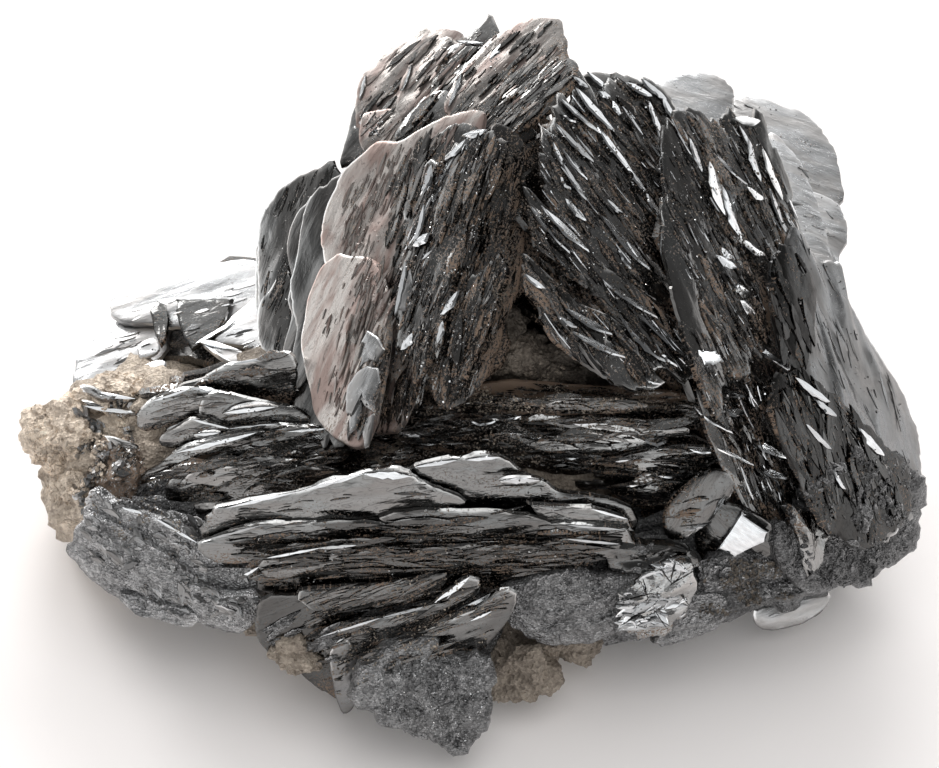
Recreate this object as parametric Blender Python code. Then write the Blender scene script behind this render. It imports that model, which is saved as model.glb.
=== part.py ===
"""Specular hematite: books of thin, lobed plates grown together on a brown rock matrix.

Everything is laid out in the display frame, in millimetres: a runs right, b runs up
the display face and c runs out of it. The display face leans back by FACE_LEAN, so
the specimen sits on the flat underside of its matrix with the plates facing up and
forward. Each book of plates is one solid, and a thin seam parts it from the next.
"""

import math

import bmesh
import bpy
from mathutils import Vector, noise

MM = 0.001

# Driving dimensions
FACE_LEAN = math.radians(45.0)      # the display face leans back from the vertical
FACE_CENTRE = (0.15, -3.05, 19.0)   # the display face's centre, as world millimetres
SEAM = 0.3 * MM                     # gap between two neighbouring pieces
PLATE_POINTS = 14                   # corners round one plate's rim
RIM_BEVEL = 0.55 * MM               # how far a plate's lens-shaped edge tapers in
RIM_WAVE = 0.09                     # depth of the lobes, as a share of the radius
TILT_SPREAD = 0.05                  # how far the plates of one book lean apart
CELL_REACH = 120.0 * MM             # half size of the block that a seam cell is cut from
BASE_HEIGHT = 0.0                   # level of the flat underside

# Materials: base colour, roughness, metallic
HEMATITE = ((0.075, 0.078, 0.080, 1.0), 0.26, 0.9)
GRANULAR_HEMATITE = ((0.14, 0.14, 0.14, 1.0), 0.5, 0.6)
BROWN_ROCK = ((0.19, 0.135, 0.085, 1.0), 0.9, 0.0)


def display_direction(a, b, c):
    """Turn a direction of the display frame into a world direction."""
    sine = math.sin(FACE_LEAN)
    cosine = math.cos(FACE_LEAN)
    return Vector((a, b * sine - c * cosine, b * cosine + c * sine))


def display_point(a, b, c):
    """World position of a point given in millimetres in the display frame."""
    return (Vector(FACE_CENTRE) + display_direction(a, b, c)) * MM


def remove_startup_objects():
    for thing in list(bpy.data.objects):
        bpy.data.objects.remove(thing, do_unlink=True)


def make_material(name, finish):
    colour, roughness, metallic = finish
    material = bpy.data.materials.new(name)
    material.use_nodes = True
    shader = material.node_tree.nodes["Principled BSDF"]
    shader.inputs["Base Color"].default_value = colour
    shader.inputs["Roughness"].default_value = roughness
    shader.inputs["Metallic"].default_value = metallic
    material.diffuse_color = colour
    return material


def object_from(shape, name):
    """Triangulate a bmesh and make it an object of the scene."""
    bmesh.ops.triangulate(shape, faces=shape.faces)
    bmesh.ops.recalc_face_normals(shape, faces=shape.faces)
    mesh = bpy.data.meshes.new(name)
    shape.to_mesh(mesh)
    shape.free()
    made = bpy.data.objects.new(name, mesh)
    bpy.context.scene.collection.objects.link(made)
    return made


def combine(base, other, operation):
    """Apply one exact Boolean to base, and drop the other object."""
    modifier = base.modifiers.new("join", "BOOLEAN")
    modifier.operation = operation
    modifier.solver = "EXACT"
    modifier.object = other
    graph = bpy.context.evaluated_depsgraph_get()
    mesh = bpy.data.meshes.new_from_object(base.evaluated_get(graph))
    base.modifiers.clear()
    base.data = mesh
    bpy.data.objects.remove(other, do_unlink=True)


def drop_crumbs(piece):
    """Keep the largest connected body, and drop chips that the seams cut loose."""
    shape = bmesh.new()
    shape.from_mesh(piece.data)
    waiting = set(shape.verts)
    bodies = []
    while waiting:
        body = {waiting.pop()}
        edge_of_body = list(body)
        while edge_of_body:
            vertex = edge_of_body.pop()
            for edge in vertex.link_edges:
                other = edge.other_vert(vertex)
                if other in waiting:
                    waiting.remove(other)
                    body.add(other)
                    edge_of_body.append(other)
        bodies.append(body)
    largest = max(bodies, key=len)
    crumbs = [vertex for vertex in shape.verts if vertex not in largest]
    bmesh.ops.delete(shape, geom=crumbs, context="VERTS")
    shape.to_mesh(piece.data)
    shape.free()


# ---------------------------------------------------------------- one plate
def plate(centre, facing, along, length, width, thickness, seed):
    """One lobed plate with a lens-shaped edge. length and width are its full sizes in
    millimetres, along and across the grain of the book."""
    normal = display_direction(*facing).normalized()
    grain = display_direction(*along)
    grain = (grain - normal * grain.dot(normal)).normalized()
    side = normal.cross(grain)
    middle = display_point(*centre)
    shape = bmesh.new()
    rings = []
    for level, inset in ((-0.5, RIM_BEVEL), (0.0, 0.0), (0.5, RIM_BEVEL)):
        ring = []
        for index in range(PLATE_POINTS):
            turn = math.tau * index / PLATE_POINTS
            lobes = math.sin(3.0 * turn + seed * 1.7) + 0.7 * math.sin(5.0 * turn + seed * 2.9)
            stretch = 1.0 + RIM_WAVE * lobes
            reach_along = length * 0.5 * MM * stretch - inset
            reach_side = width * 0.5 * MM * stretch - inset
            ring.append(shape.verts.new(
                middle
                + grain * (math.cos(turn) * reach_along)
                + side * (math.sin(turn) * reach_side)
                + normal * (level * thickness * MM)))
        rings.append(ring)
    shape.faces.new(rings[0][::-1])
    shape.faces.new(rings[2])
    for lower, upper in zip(rings, rings[1:]):
        for index in range(PLATE_POINTS):
            after = (index + 1) % PLATE_POINTS
            shape.faces.new((lower[index], lower[after], upper[after], upper[index]))
    return object_from(shape, "plate")


def lump(centre, radii, roughness, seed, detail=2):
    """A rounded, uneven lump. Its centre and radii are world millimetres."""
    shape = bmesh.new()
    bmesh.ops.create_icosphere(shape, subdivisions=detail, radius=1.0)
    offset = Vector((seed * 3.1, seed * 5.7, seed * 1.3))
    for vertex in shape.verts:
        swell = 1.0 + roughness * noise.noise(vertex.co * 1.6 + offset)
        scaled = Vector((vertex.co.x * radii[0], vertex.co.y * radii[1], vertex.co.z * radii[2]))
        vertex.co = (Vector(centre) + scaled * swell) * MM
    return object_from(shape, "lump")


def display_lump(centre, radii, roughness, seed, detail=2):
    """The same, with its centre given in the display frame."""
    world = display_point(*centre) / MM
    return lump(world, radii, roughness, seed, detail)


def book(first, count, facing, along, length, width, thickness, rise, setback, seed, shrink=0.96):
    """A stack of plates. Each next one lies rise millimetres further out along the
    stack, is set back from the free rim of the one below, and is a little smaller."""
    normal = Vector(facing).normalized()
    grain = Vector(along).normalized()
    towards_rim = normal.cross(grain).normalized()
    stack = []
    for index in range(count):
        centre = Vector(first) + (normal * rise - towards_rim * setback) * index
        size = shrink ** index
        turn = TILT_SPREAD * math.sin(seed + 2.3 * index)
        tilted = (facing[0] + turn, facing[1] - turn, facing[2])
        stack.append(plate(centre, tilted, along, length * size, width * size,
                           thickness, seed + index))
    return stack


# ---------------------------------------------------------------- seams
# The heart of each crystal group, in the display frame. Two groups part half-way
# between their hearts, unless SEAMS gives them a seam of their own.
HEARTS = {
    "left_book": (-5.0, 8.0, 1.0),
    "left_flank_plates": (-16.5, 9.0, -8.0),
    "top_plates": (-3.0, 26.0, -8.0),
    "upper_right_book": (12.0, 14.0, 1.0),
    "right_book": (22.0, 3.0, 2.0),
    "right_end_plate": (33.0, -4.0, -3.0),
    "middle_book": (8.5, -4.0, -1.0),
    "front_book": (-1.0, -13.5, 4.0),
    "left_blades": (-20.0, -3.5, 0.0),
    "lower_left_mass": (-24.0, -15.5, -1.0),
    "front_tip": (-3.5, -23.5, 4.0),
    "lower_right_mass": (15.0, -19.0, 0.0),
    "rear_left_rosette": (-24.0, 8.0, -17.0),
    "rear_right_rosette": (25.0, 20.0, -17.0),
    "lower_right_plate": (25.6, -18.5, -8.0),
}

# Seams that don't run half-way: a point on the seam, and the way to the second group
SEAMS = {
    ("left_book", "upper_right_book"): ((4.1, 12.0, 0.0), (1.0, 0.02, 0.0)),
    ("left_book", "top_plates"): ((-4.0, 20.0, 0.0), (-0.38, 0.85, -0.35)),
    ("left_book", "left_flank_plates"): ((-13.2, 9.0, -4.0), (-0.80, 0.28, -0.53)),
    ("left_book", "left_blades"): ((-11.0, -1.5, 0.0), (-0.85, -0.50, -0.20)),
    ("left_book", "middle_book"): ((-1.0, 0.0, 1.0), (0.60, -0.75, -0.20)),
    ("left_book", "front_book"): ((-8.0, -6.2, 3.0), (0.10, -0.95, 0.30)),
    ("upper_right_book", "top_plates"): ((6.0, 23.2, 0.0), (-0.42, 0.85, -0.30)),
    ("upper_right_book", "right_book"): ((17.5, 11.0, 3.0), (0.95, -0.10, -0.20)),
    ("upper_right_book", "rear_right_rosette"): ((18.0, 20.0, -6.0), (0.40, 0.50, -0.75)),
    ("upper_right_book", "middle_book"): ((12.0, 1.0, 1.0), (-0.10, -0.95, -0.20)),
    ("right_book", "middle_book"): ((18.5, -3.0, 3.0), (-0.89, -0.42, -0.10)),
    ("right_book", "right_end_plate"): ((26.0, 0.0, 0.0), (0.96, 0.15, -0.20)),
    ("right_book", "lower_right_mass"): ((22.0, -12.5, 3.0), (-0.55, -0.80, -0.10)),
    ("right_book", "rear_right_rosette"): ((25.0, 12.0, -6.0), (0.45, 0.35, -0.80)),
    ("right_end_plate", "rear_right_rosette"): ((30.0, 6.0, -8.0), (0.30, 0.50, -0.80)),
    ("right_end_plate", "lower_right_mass"): ((28.0, -15.5, -1.0), (-0.50, -0.85, 0.0)),
    ("front_book", "left_blades"): ((-17.0, -7.5, 2.0), (-0.25, 0.92, -0.30)),
    ("front_book", "lower_left_mass"): ((-22.0, -12.0, 1.0), (-0.70, -0.60, -0.40)),
    ("front_book", "middle_book"): ((5.0, -7.5, 3.5), (0.0, 0.85, -0.50)),
    ("front_book", "front_tip"): ((-4.0, -15.5, 6.0), (0.05, -0.93, -0.30)),
    ("front_book", "lower_right_mass"): ((9.0, -14.0, 5.0), (0.35, -0.90, -0.20)),
    ("left_blades", "left_flank_plates"): ((-15.0, 1.0, -3.0), (-0.10, 0.90, -0.40)),
    ("left_blades", "rear_left_rosette"): ((-22.0, 1.5, -7.0), (0.0, 0.60, -0.80)),
    ("left_blades", "lower_left_mass"): ((-24.0, -9.0, -1.0), (-0.20, -0.90, -0.30)),
    ("left_flank_plates", "rear_left_rosette"): ((-17.5, 8.0, -11.0), (-0.90, -0.10, -0.40)),
    ("left_flank_plates", "top_plates"): ((-9.5, 18.5, -6.0), (0.40, 0.90, 0.0)),
    ("front_tip", "lower_right_mass"): ((3.5, -18.0, 4.0), (0.85, 0.30, 0.0)),
    ("front_tip", "lower_left_mass"): ((-15.0, -17.0, 2.0), (-0.90, 0.10, -0.20)),
}


def seam_between(name, other):
    """A point on the seam of two groups and its direction, out of the first one."""
    if (name, other) in SEAMS:
        point, away = SEAMS[name, other]
        return display_point(*point), display_direction(*away).normalized()
    if (other, name) in SEAMS:
        point, away = SEAMS[other, name]
        return display_point(*point), -display_direction(*away).normalized()
    here = display_point(*HEARTS[name])
    there = display_point(*HEARTS[other])
    return (here + there) * 0.5, (there - here).normalized()


def seam_cell(name):
    """The convex space that one group keeps, half a seam short of every neighbour."""
    shape = bmesh.new()
    bmesh.ops.create_cube(shape, size=2.0 * CELL_REACH)
    for other in HEARTS:
        if other == name:
            continue
        point, away = seam_between(name, other)
        everything = shape.verts[:] + shape.edges[:] + shape.faces[:]
        cut = bmesh.ops.bisect_plane(shape, geom=everything, plane_co=point - away * SEAM * 0.5,
                                     plane_no=away, clear_outer=True, dist=1e-7)
        edges = [part for part in cut["geom_cut"] if isinstance(part, bmesh.types.BMEdge)]
        if edges:
            bmesh.ops.contextual_create(shape, geom=edges)
    return object_from(shape, "cell")


# ---------------------------------------------------------------- the crystal groups
def left_book():
    """Steep plates stepping up to the right, their free rims on the left."""
    plates = book((-8.0, 7.5, -2.5), 5, facing=(-0.45, 0.22, 0.87), along=(0.43, 0.90, 0.0),
                  length=31.0, width=15.0, thickness=2.4, rise=1.8, setback=2.6, seed=1, shrink=0.93)
    core = display_lump((-4.0, 8.0, -5.5), (10.0, 9.0, 9.0), roughness=0.1, seed=2)
    return plates + [core]


def left_flank_plates():
    """Plates behind the left book, their edges seen past it."""
    plates = book((-14.6, 8.6, -7.5), 3, facing=(-0.50, 0.20, 0.84), along=(0.30, 0.95, 0.0),
                  length=18.5, width=9.0, thickness=2.0, rise=1.5, setback=1.5, seed=4)
    core = display_lump((-12.0, 8.0, -12.5), (6.0, 6.0, 8.0), roughness=0.1, seed=5)
    return plates + [core]


def top_plates():
    """The crest, with its plates leaning up and to the left."""
    lower = book((-3.0, 22.8, -5.0), 3, facing=(-0.35, 0.45, 0.80), along=(0.75, 0.66, 0.0),
                 length=14.0, width=10.0, thickness=2.2, rise=1.6, setback=2.0, seed=7)
    peak = plate((2.9, 25.0, -2.5), (-0.25, 0.35, 0.90), (0.8, 0.6, 0.0),
                  length=12.0, width=7.0, thickness=2.4, seed=9)
    core = display_lump((-0.5, 20.5, -10.0), (8.5, 6.0, 8.0), roughness=0.1, seed=8)
    return lower + [peak, core]


def upper_right_book():
    """Plates running down to the right from the crest, their free rims on the right."""
    plates = book((15.0, 14.2, -1.5), 5, facing=(0.45, 0.33, 0.83), along=(0.62, -0.78, 0.0),
                  length=28.0, width=13.0, thickness=2.4, rise=1.7, setback=2.6, seed=11, shrink=0.94)
    core = display_lump((11.0, 13.0, -7.5), (9.0, 8.0, 9.0), roughness=0.1, seed=12)
    return plates + [core]


def right_book():
    """Two long runs of plates down the right side."""
    upper = book((24.0, 7.5, -2.0), 4, facing=(0.50, 0.20, 0.84), along=(0.50, -0.86, 0.0),
                 length=27.0, width=12.0, thickness=2.4, rise=1.7, setback=2.2, seed=14)
    lower = book((27.0, -7.0, -2.0), 3, facing=(0.42, -0.05, 0.90), along=(0.45, -0.89, 0.0),
                 length=24.0, width=12.0, thickness=2.4, rise=1.7, setback=2.4, seed=17)
    core = display_lump((21.0, 1.5, -7.5), (8.0, 10.0, 11.0), roughness=0.1, seed=18)
    return upper + lower + [core]


def right_end_plate():
    """The broad plate that ends the specimen on the right, over a broken edge."""
    broad = plate((27.8, 0.6, -2.5), (0.55, 0.02, 0.83), (0.45, -0.89, 0.0),
                  length=26.0, width=13.5, thickness=2.4, seed=21)
    under = plate((30.2, -9.8, -2.6), (0.45, -0.25, 0.85), (0.25, -0.97, 0.0),
                  length=16.0, width=11.0, thickness=2.8, seed=22)
    core = display_lump((27.5, -7.0, -8.0), (6.5, 8.5, 8.0), roughness=0.12, seed=23)
    return [broad, under, core]


def middle_book():
    """Near level plates between the central hollow and the front book."""
    plates = book((7.0, -2.0, -1.0), 4, facing=(0.0, -0.50, 0.87), along=(1.0, 0.0, 0.0),
                  length=25.0, width=9.0, thickness=2.0, rise=1.5, setback=1.3, seed=25)
    core = display_lump((9.0, -3.5, -7.0), (10.0, 6.5, 7.5), roughness=0.1, seed=26)
    return plates + [core]


def front_book():
    """Upright plates across the front, their free rims on top."""
    plates = book((-4.5, -10.5, 2.5), 4, facing=(0.02, -0.55, 0.83), along=(1.0, 0.05, 0.0),
                  length=38.0, width=11.0, thickness=2.4, rise=1.9, setback=1.3, seed=28)
    core = display_lump((-4.0, -12.5, -2.0), (15.0, 7.0, 7.0), roughness=0.1, seed=29)
    return plates + [core]


def left_blades():
    """Long lenses rising to the right, at the left of the front book."""
    plates = book((-20.2, -1.0, -3.5), 4, facing=(-0.12, -0.45, 0.88), along=(0.96, 0.22, 0.0),
                  length=20.0, width=8.0, thickness=2.0, rise=1.5, setback=1.8, seed=31)
    core = display_lump((-20.0, -4.0, -7.0), (8.5, 7.0, 7.0), roughness=0.1, seed=33)
    return plates + [core]


def lower_left_mass():
    """Broken, granular plates low on the left."""
    plates = book((-22.4, -9.4, -1.5), 3, facing=(-0.25, -0.45, 0.86), along=(0.85, -0.52, 0.0),
                  length=16.5, width=9.5, thickness=2.6, rise=1.5, setback=2.2, seed=35)
    core = display_lump((-19.0, -11.5, -4.0), (8.0, 6.5, 6.0), roughness=0.15, seed=36)
    return plates + [core]


def front_tip():
    """Two blades over the granular tongue that hangs lowest in front."""
    blades = book((-5.0, -17.5, 4.5), 2, facing=(0.05, -0.55, 0.83), along=(0.88, 0.42, 0.0),
                  length=15.0, width=8.0, thickness=2.0, rise=1.4, setback=1.6, seed=38)
    tongue = plate((-2.6, -22.6, 5.6), (0.12, -0.12, 0.98), (0.30, -0.95, 0.0),
                  length=12.5, width=9.0, thickness=3.6, seed=40)
    core = display_lump((-3.5, -17.8, 2.0), (7.0, 5.5, 5.0), roughness=0.12, seed=41)
    return blades + [tongue, core]


def lower_right_mass():
    """Granular, broken plates under the front and right books."""
    left = plate((8.5, -16.8, 3.5), (0.05, -0.50, 0.86), (1.0, 0.15, 0.0),
                  length=15.0, width=8.5, thickness=3.2, seed=43)
    middle = plate((15.5, -16.0, 2.6), (0.15, -0.45, 0.88), (1.0, 0.20, 0.0),
                  length=13.0, width=9.0, thickness=3.0, seed=44)
    right = plate((22.0, -14.5, 0.8), (0.20, -0.50, 0.84), (1.0, 0.10, 0.0),
                  length=15.0, width=9.0, thickness=3.2, seed=45)
    upper = plate((18.6, -10.0, 2.0), (-0.25, -0.30, 0.92), (0.50, 0.86, 0.0),
                  length=9.5, width=7.0, thickness=2.6, seed=47)
    core = display_lump((15.5, -13.0, -3.0), (12.5, 7.0, 6.5), roughness=0.12, seed=46)
    return [left, middle, right, upper, core]


def rear_left_rosette():
    """Pale lobed plates low down behind the left end."""
    plates = book((-23.0, 6.2, -15.0), 3, facing=(-0.15, 0.40, 0.90), along=(0.95, 0.30, 0.0),
                  length=15.0, width=10.0, thickness=2.2, rise=1.6, setback=1.8, seed=48)
    outer = plate((-27.5, 2.5, -14.0), (-0.30, 0.30, 0.90), (0.8, 0.6, 0.0),
                  length=9.0, width=7.5, thickness=2.2, seed=51)
    core = display_lump((-20.0, 5.0, -18.5), (9.0, 6.5, 6.0), roughness=0.1, seed=52)
    return plates + [outer, core]


def rear_right_rosette():
    """Broad scalloped plates low down behind the right side."""
    upper = plate((17.5, 20.5, -14.0), (0.15, 0.35, 0.92), (0.9, -0.2, 0.0),
                  length=13.0, width=9.0, thickness=2.4, seed=54)
    middle = plate((23.5, 17.5, -13.0), (0.30, 0.30, 0.90), (0.7, -0.7, 0.0),
                  length=14.0, width=10.0, thickness=2.4, seed=55)
    outer = plate((27.0, 12.5, -13.0), (0.35, 0.20, 0.91), (0.3, -0.95, 0.0),
                  length=15.0, width=10.0, thickness=2.4, seed=56)
    core = display_lump((19.5, 14.0, -18.0), (9.0, 8.0, 8.5), roughness=0.1, seed=57)
    return [upper, middle, outer, core]


def lower_right_plate():
    """The small pale plate under the right end, on the broken rock that carries it."""
    pale = plate((25.6, -17.3, -5.0), (0.05, -0.35, 0.93), (0.95, 0.30, 0.0),
                 length=8.0, width=5.5, thickness=1.6, seed=58)
    core = display_lump((24.6, -13.8, -5.4), (5.8, 4.6, 4.2), roughness=0.1, seed=59)
    return [pale, core]


GROUPS = {
    "left_book": (left_book, HEMATITE),
    "left_flank_plates": (left_flank_plates, HEMATITE),
    "top_plates": (top_plates, HEMATITE),
    "upper_right_book": (upper_right_book, HEMATITE),
    "right_book": (right_book, HEMATITE),
    "right_end_plate": (right_end_plate, HEMATITE),
    "middle_book": (middle_book, HEMATITE),
    "front_book": (front_book, HEMATITE),
    "left_blades": (left_blades, HEMATITE),
    "lower_left_mass": (lower_left_mass, GRANULAR_HEMATITE),
    "front_tip": (front_tip, GRANULAR_HEMATITE),
    "lower_right_mass": (lower_right_mass, GRANULAR_HEMATITE),
    "rear_left_rosette": (rear_left_rosette, HEMATITE),
    "rear_right_rosette": (rear_right_rosette, HEMATITE),
    "lower_right_plate": (lower_right_plate, HEMATITE),
}


# ---------------------------------------------------------------- the matrix
# Lumps of brown rock, as world millimetres: centre and radii
MATRIX_LUMPS = (
    ((0.0, 2.5, 7.5), (26.0, 15.0, 12.0)),
    ((-26.0, -1.0, 7.5), (9.5, 9.0, 7.0)),
    ((20.0, 3.5, 8.0), (11.0, 11.0, 9.0)),
    ((-11.0, -9.5, 6.5), (8.0, 8.5, 6.0)),
    ((4.0, -10.0, 5.0), (8.5, 9.0, 5.5)),
)


def matrix_rock(extra):
    """The brown rock that carries every group, swollen by extra millimetres."""
    lumps = []
    for index, (centre, radii) in enumerate(MATRIX_LUMPS):
        grown = [radius + extra for radius in radii]
        lumps.append(lump(centre, grown, roughness=0.12, seed=60 + index, detail=3))
    rock = lumps[0]
    for other in lumps[1:]:
        combine(rock, other, "UNION")
    return rock


def cut_flat_base(rock):
    """Cut the rock off level, so that it has a flat face to stand on."""
    shape = bmesh.new()
    shape.from_mesh(rock.data)
    everything = shape.verts[:] + shape.edges[:] + shape.faces[:]
    cut = bmesh.ops.bisect_plane(shape, geom=everything, plane_co=(0.0, 0.0, BASE_HEIGHT),
                                 plane_no=(0.0, 0.0, -1.0), clear_outer=True, dist=1e-7)
    edges = [part for part in cut["geom_cut"] if isinstance(part, bmesh.types.BMEdge)]
    bmesh.ops.contextual_create(shape, geom=edges)
    bmesh.ops.triangulate(shape, faces=shape.faces)
    shape.to_mesh(rock.data)
    shape.free()


def build_specimen():
    remove_startup_objects()
    rock = matrix_rock(0.0)
    cut_flat_base(rock)
    rock.name = "matrix"
    rock.data.materials.clear()
    rock.data.materials.append(make_material("matrix", BROWN_ROCK))
    for name, (grow, finish) in GROUPS.items():
        pieces = grow()
        group = pieces[0]
        for other in pieces[1:]:
            combine(group, other, "UNION")
        combine(group, seam_cell(name), "INTERSECT")
        combine(group, matrix_rock(SEAM / MM), "DIFFERENCE")
        drop_crumbs(group)
        group.name = name
        group.data.materials.clear()
        group.data.materials.append(make_material(name, finish))


build_specimen()
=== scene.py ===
"""Looks of the specular hematite specimen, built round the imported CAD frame.

Lengths are millimetres in the display frame until the last moment: a runs right, b up
the display face and c out of it, towards the camera. Plates that the photograph shows
are drawn by their outline in its 939 x 768 pixels, and laid on the tilted plane of the
book of plates that they belong to. Finer flakes are strewn over them by rule.
"""

import math
import random

import bmesh
import bpy
import numpy as np
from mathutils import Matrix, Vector, noise
from mathutils.bvhtree import BVHTree

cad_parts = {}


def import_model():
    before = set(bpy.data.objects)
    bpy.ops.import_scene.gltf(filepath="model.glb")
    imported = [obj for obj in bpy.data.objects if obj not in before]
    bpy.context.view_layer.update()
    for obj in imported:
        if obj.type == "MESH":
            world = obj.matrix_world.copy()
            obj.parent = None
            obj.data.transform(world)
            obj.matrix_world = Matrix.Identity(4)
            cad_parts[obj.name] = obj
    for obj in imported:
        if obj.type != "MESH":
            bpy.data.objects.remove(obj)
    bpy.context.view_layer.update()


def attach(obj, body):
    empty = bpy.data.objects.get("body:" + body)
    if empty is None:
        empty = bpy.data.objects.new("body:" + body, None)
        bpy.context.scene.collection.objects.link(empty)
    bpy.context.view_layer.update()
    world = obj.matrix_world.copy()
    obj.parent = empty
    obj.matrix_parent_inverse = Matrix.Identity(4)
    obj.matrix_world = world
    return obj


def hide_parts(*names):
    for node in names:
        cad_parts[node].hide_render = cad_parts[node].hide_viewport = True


MM = 0.001
PHOTO_WIDTH = 939
PHOTO_HEIGHT = 768
CAMERA_DISTANCE = 172.0             # mm from the display face's centre
CAMERA_LENS = 85.0
CAMERA_SENSOR = 36.0
PIXEL = CAMERA_SENSOR / CAMERA_LENS * CAMERA_DISTANCE / PHOTO_WIDTH   # mm on the face
FACE_LEAN = math.radians(45.0)
FACE_CENTRE = Vector((0.15, -3.05, 19.0))
BASE_LEVEL = 0.0                    # the floor
SHARP_ANGLE = 30.0                  # degrees between faces that don't shade smoothly
SMALLEST = 1e-6                     # keeps a division from meeting zero
FLAKE_WAVES = 0.035                 # swarms of flakes in one pixel of the photograph
SWARM_LIMIT = -0.12                 # how much of a region stays bare between swarms
SPECK_WAVES = 0.05                  # swarms of specks in one pixel
OUTLINE_STEP = 0.38                 # mm between the corners of a large plate's outline
LEAST_CORNERS = 12                  # of a smooth outline, however small
LEAST_INSET = 0.25                  # the share of its reach that an outline drawn in keeps
FIRST_BEVEL = 0.11                  # mm from a large plate's rim to its two bevels
SECOND_BEVEL = 0.34
GLINT_THICKNESS = 0.14              # mm
GLINT_RISE = 0.06                   # mm above what it lies on
GLINT_OVERHANG = 1.06               # its length, as a share of the way between its ends
LEAST_SHOWN = 0.35                  # a facet seen edge on is widened by no more than 1 / this
PACK_PITCH = 0.8                    # mm between the layers of broken plates in a core
PACKS = 3                           # broken plates in each layer
PACK_SIZES = (0.60, 0.84)           # as shares of the core's own width,
PACK_REACH = 1.10                   # as is how far their rims reach from its middle
PACK_FOOT = -0.92                   # the lowest and highest layer, as shares of its height
PACK_TOP = 0.9
PACK_TILT = 0.05                    # the spread of the broken plates' slopes
LUMP_SHARE = 0.84                   # the lump inside a core, as a share of it
RING_STEP = 0.5                     # mm between the rings of a large plate's face
LEAST_RINGS = 3                     # on its face, however small or large it is
MOST_RINGS = 14
FULL_DOME = 4.0                     # mm from middle to rim; smaller plates are domed less
PLATE_TONES = (0.88, 1.14)          # how the tones of plates drawn alike differ
RESTING_RISE = 0.4                  # how far a resting plate is raised, in thicknesses
PLATE_SETTLING = 0.9                # the dust on a plate's buried side
ANY_SLOPE = -1.0                    # lets flakes lie on a surface however it faces
# The facet metal is a painted highlight, far paler than hematite; the satin metal is a satin finish
# whose pale colour is a painted sheen.
MIRROR, FILMED, GRAINY, ROCK, PAINTED_GLINT, SATIN_PAINTED_SHEEN = range(6)   # the materials, in their order

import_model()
chance = random.Random(7)


# ---------------------------------------------------------------- the display frame
def unit(vector):
    return vector / np.linalg.norm(vector)


SINE = math.sin(FACE_LEAN)
COSINE = math.cos(FACE_LEAN)
TO_WORLD = np.array(((1.0, 0.0, 0.0), (0.0, SINE, -COSINE), (0.0, COSINE, SINE)))
CAMERA_SPOT = np.array((0.0, 0.0, CAMERA_DISTANCE))


def world(points):
    """World millimetres of display-frame points, one a row."""
    return np.asarray(points) @ TO_WORLD.T + np.array(FACE_CENTRE)


def sight(pixel):
    """The way from the camera through one pixel of the photograph."""
    return np.array(((pixel[0] - PHOTO_WIDTH / 2) * PIXEL,
                     (PHOTO_HEIGHT / 2 - pixel[1]) * PIXEL, -CAMERA_DISTANCE))


def on_plane(pixel, origin, normal):
    """The point of a plane that the camera sees at one pixel of the photograph."""
    ray = sight(pixel)
    share = np.dot(normal, np.asarray(origin) - CAMERA_SPOT) / np.dot(normal, ray)
    return CAMERA_SPOT + ray * share


# ---------------------------------------------------------------- gathering meshes
class Gather:
    """Collects many closed shells that become one piece."""

    def __init__(self):
        self.points = []
        self.faces = []
        self.grain = []
        self.stain = []
        self.tone = []
        self.slots = []
        self.count = 0

    def add(self, points, faces, grain, stain, tone, slot):
        self.points.append(points)
        self.faces.extend([tuple(index + self.count for index in face) for face in faces])
        self.grain.append(grain)
        self.stain.append(stain)
        self.tone.append(np.broadcast_to(tone, (len(points),)))
        self.slots.extend([slot] * len(faces))
        self.count += len(points)

    def surface(self):
        """A search tree over everything gathered so far."""
        return BVHTree.FromPolygons(np.vstack(self.points).tolist(), self.faces)

    def make(self, name, materials):
        mesh = bpy.data.meshes.new(name)
        points = world(np.vstack(self.points))
        points[:, 2] = np.maximum(points[:, 2], BASE_LEVEL)
        mesh.from_pydata((points * MM).tolist(), [], self.faces)
        for material in materials:
            mesh.materials.append(material)
        mesh.polygons.foreach_set("material_index", self.slots)
        mesh.shade_smooth()
        mesh.set_sharp_from_angle(angle=math.radians(SHARP_ANGLE))
        corners = np.zeros(len(mesh.loops), dtype=np.int32)
        mesh.loops.foreach_get("vertex_index", corners)
        layer = mesh.uv_layers.new(name="grain")
        layer.data.foreach_set("uv", np.vstack(self.grain)[corners].ravel())
        # The tone attribute also holds the painted highlights and painted shade on rims.
        for label, values in (("stain", self.stain), ("tone", self.tone)):
            attribute = mesh.attributes.new(label, "FLOAT", "POINT")
            attribute.data.foreach_set("value", np.concatenate(values))
        made = bpy.data.objects.new(name, mesh)
        bpy.context.scene.collection.objects.link(made)
        return made


def meet(tree, start, way):
    """Where a ray meets a surface, and the surface's normal there, or None."""
    place, normal, _, _ = tree.ray_cast(Vector(start), Vector(way))
    if place is None:
        return None
    normal = np.array(normal)
    if np.dot(normal, way) > 0.0:
        normal = -normal
    return np.array(place), normal


def backed(tree, place, slack):
    """Whether something lies close behind or in front of a place, as the camera sees it."""
    found = meet(tree, CAMERA_SPOT, place - CAMERA_SPOT)
    return found is not None and np.linalg.norm(found[0] - place) < slack


# ---------------------------------------------------------------- shells
def ring_faces(count, rings):
    faces = []
    for ring in range(rings - 1):
        low = ring * count
        for index in range(count):
            after = (index + 1) % count
            faces.append((low + index, low + after, low + count + after, low + count + index))
    return faces


def anticlockwise(outline):
    turning = np.sum(outline[:, 0] * np.roll(outline[:, 1], -1)
                     - np.roll(outline[:, 0], -1) * outline[:, 1])
    return outline[::-1] if turning < 0.0 else outline


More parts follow.
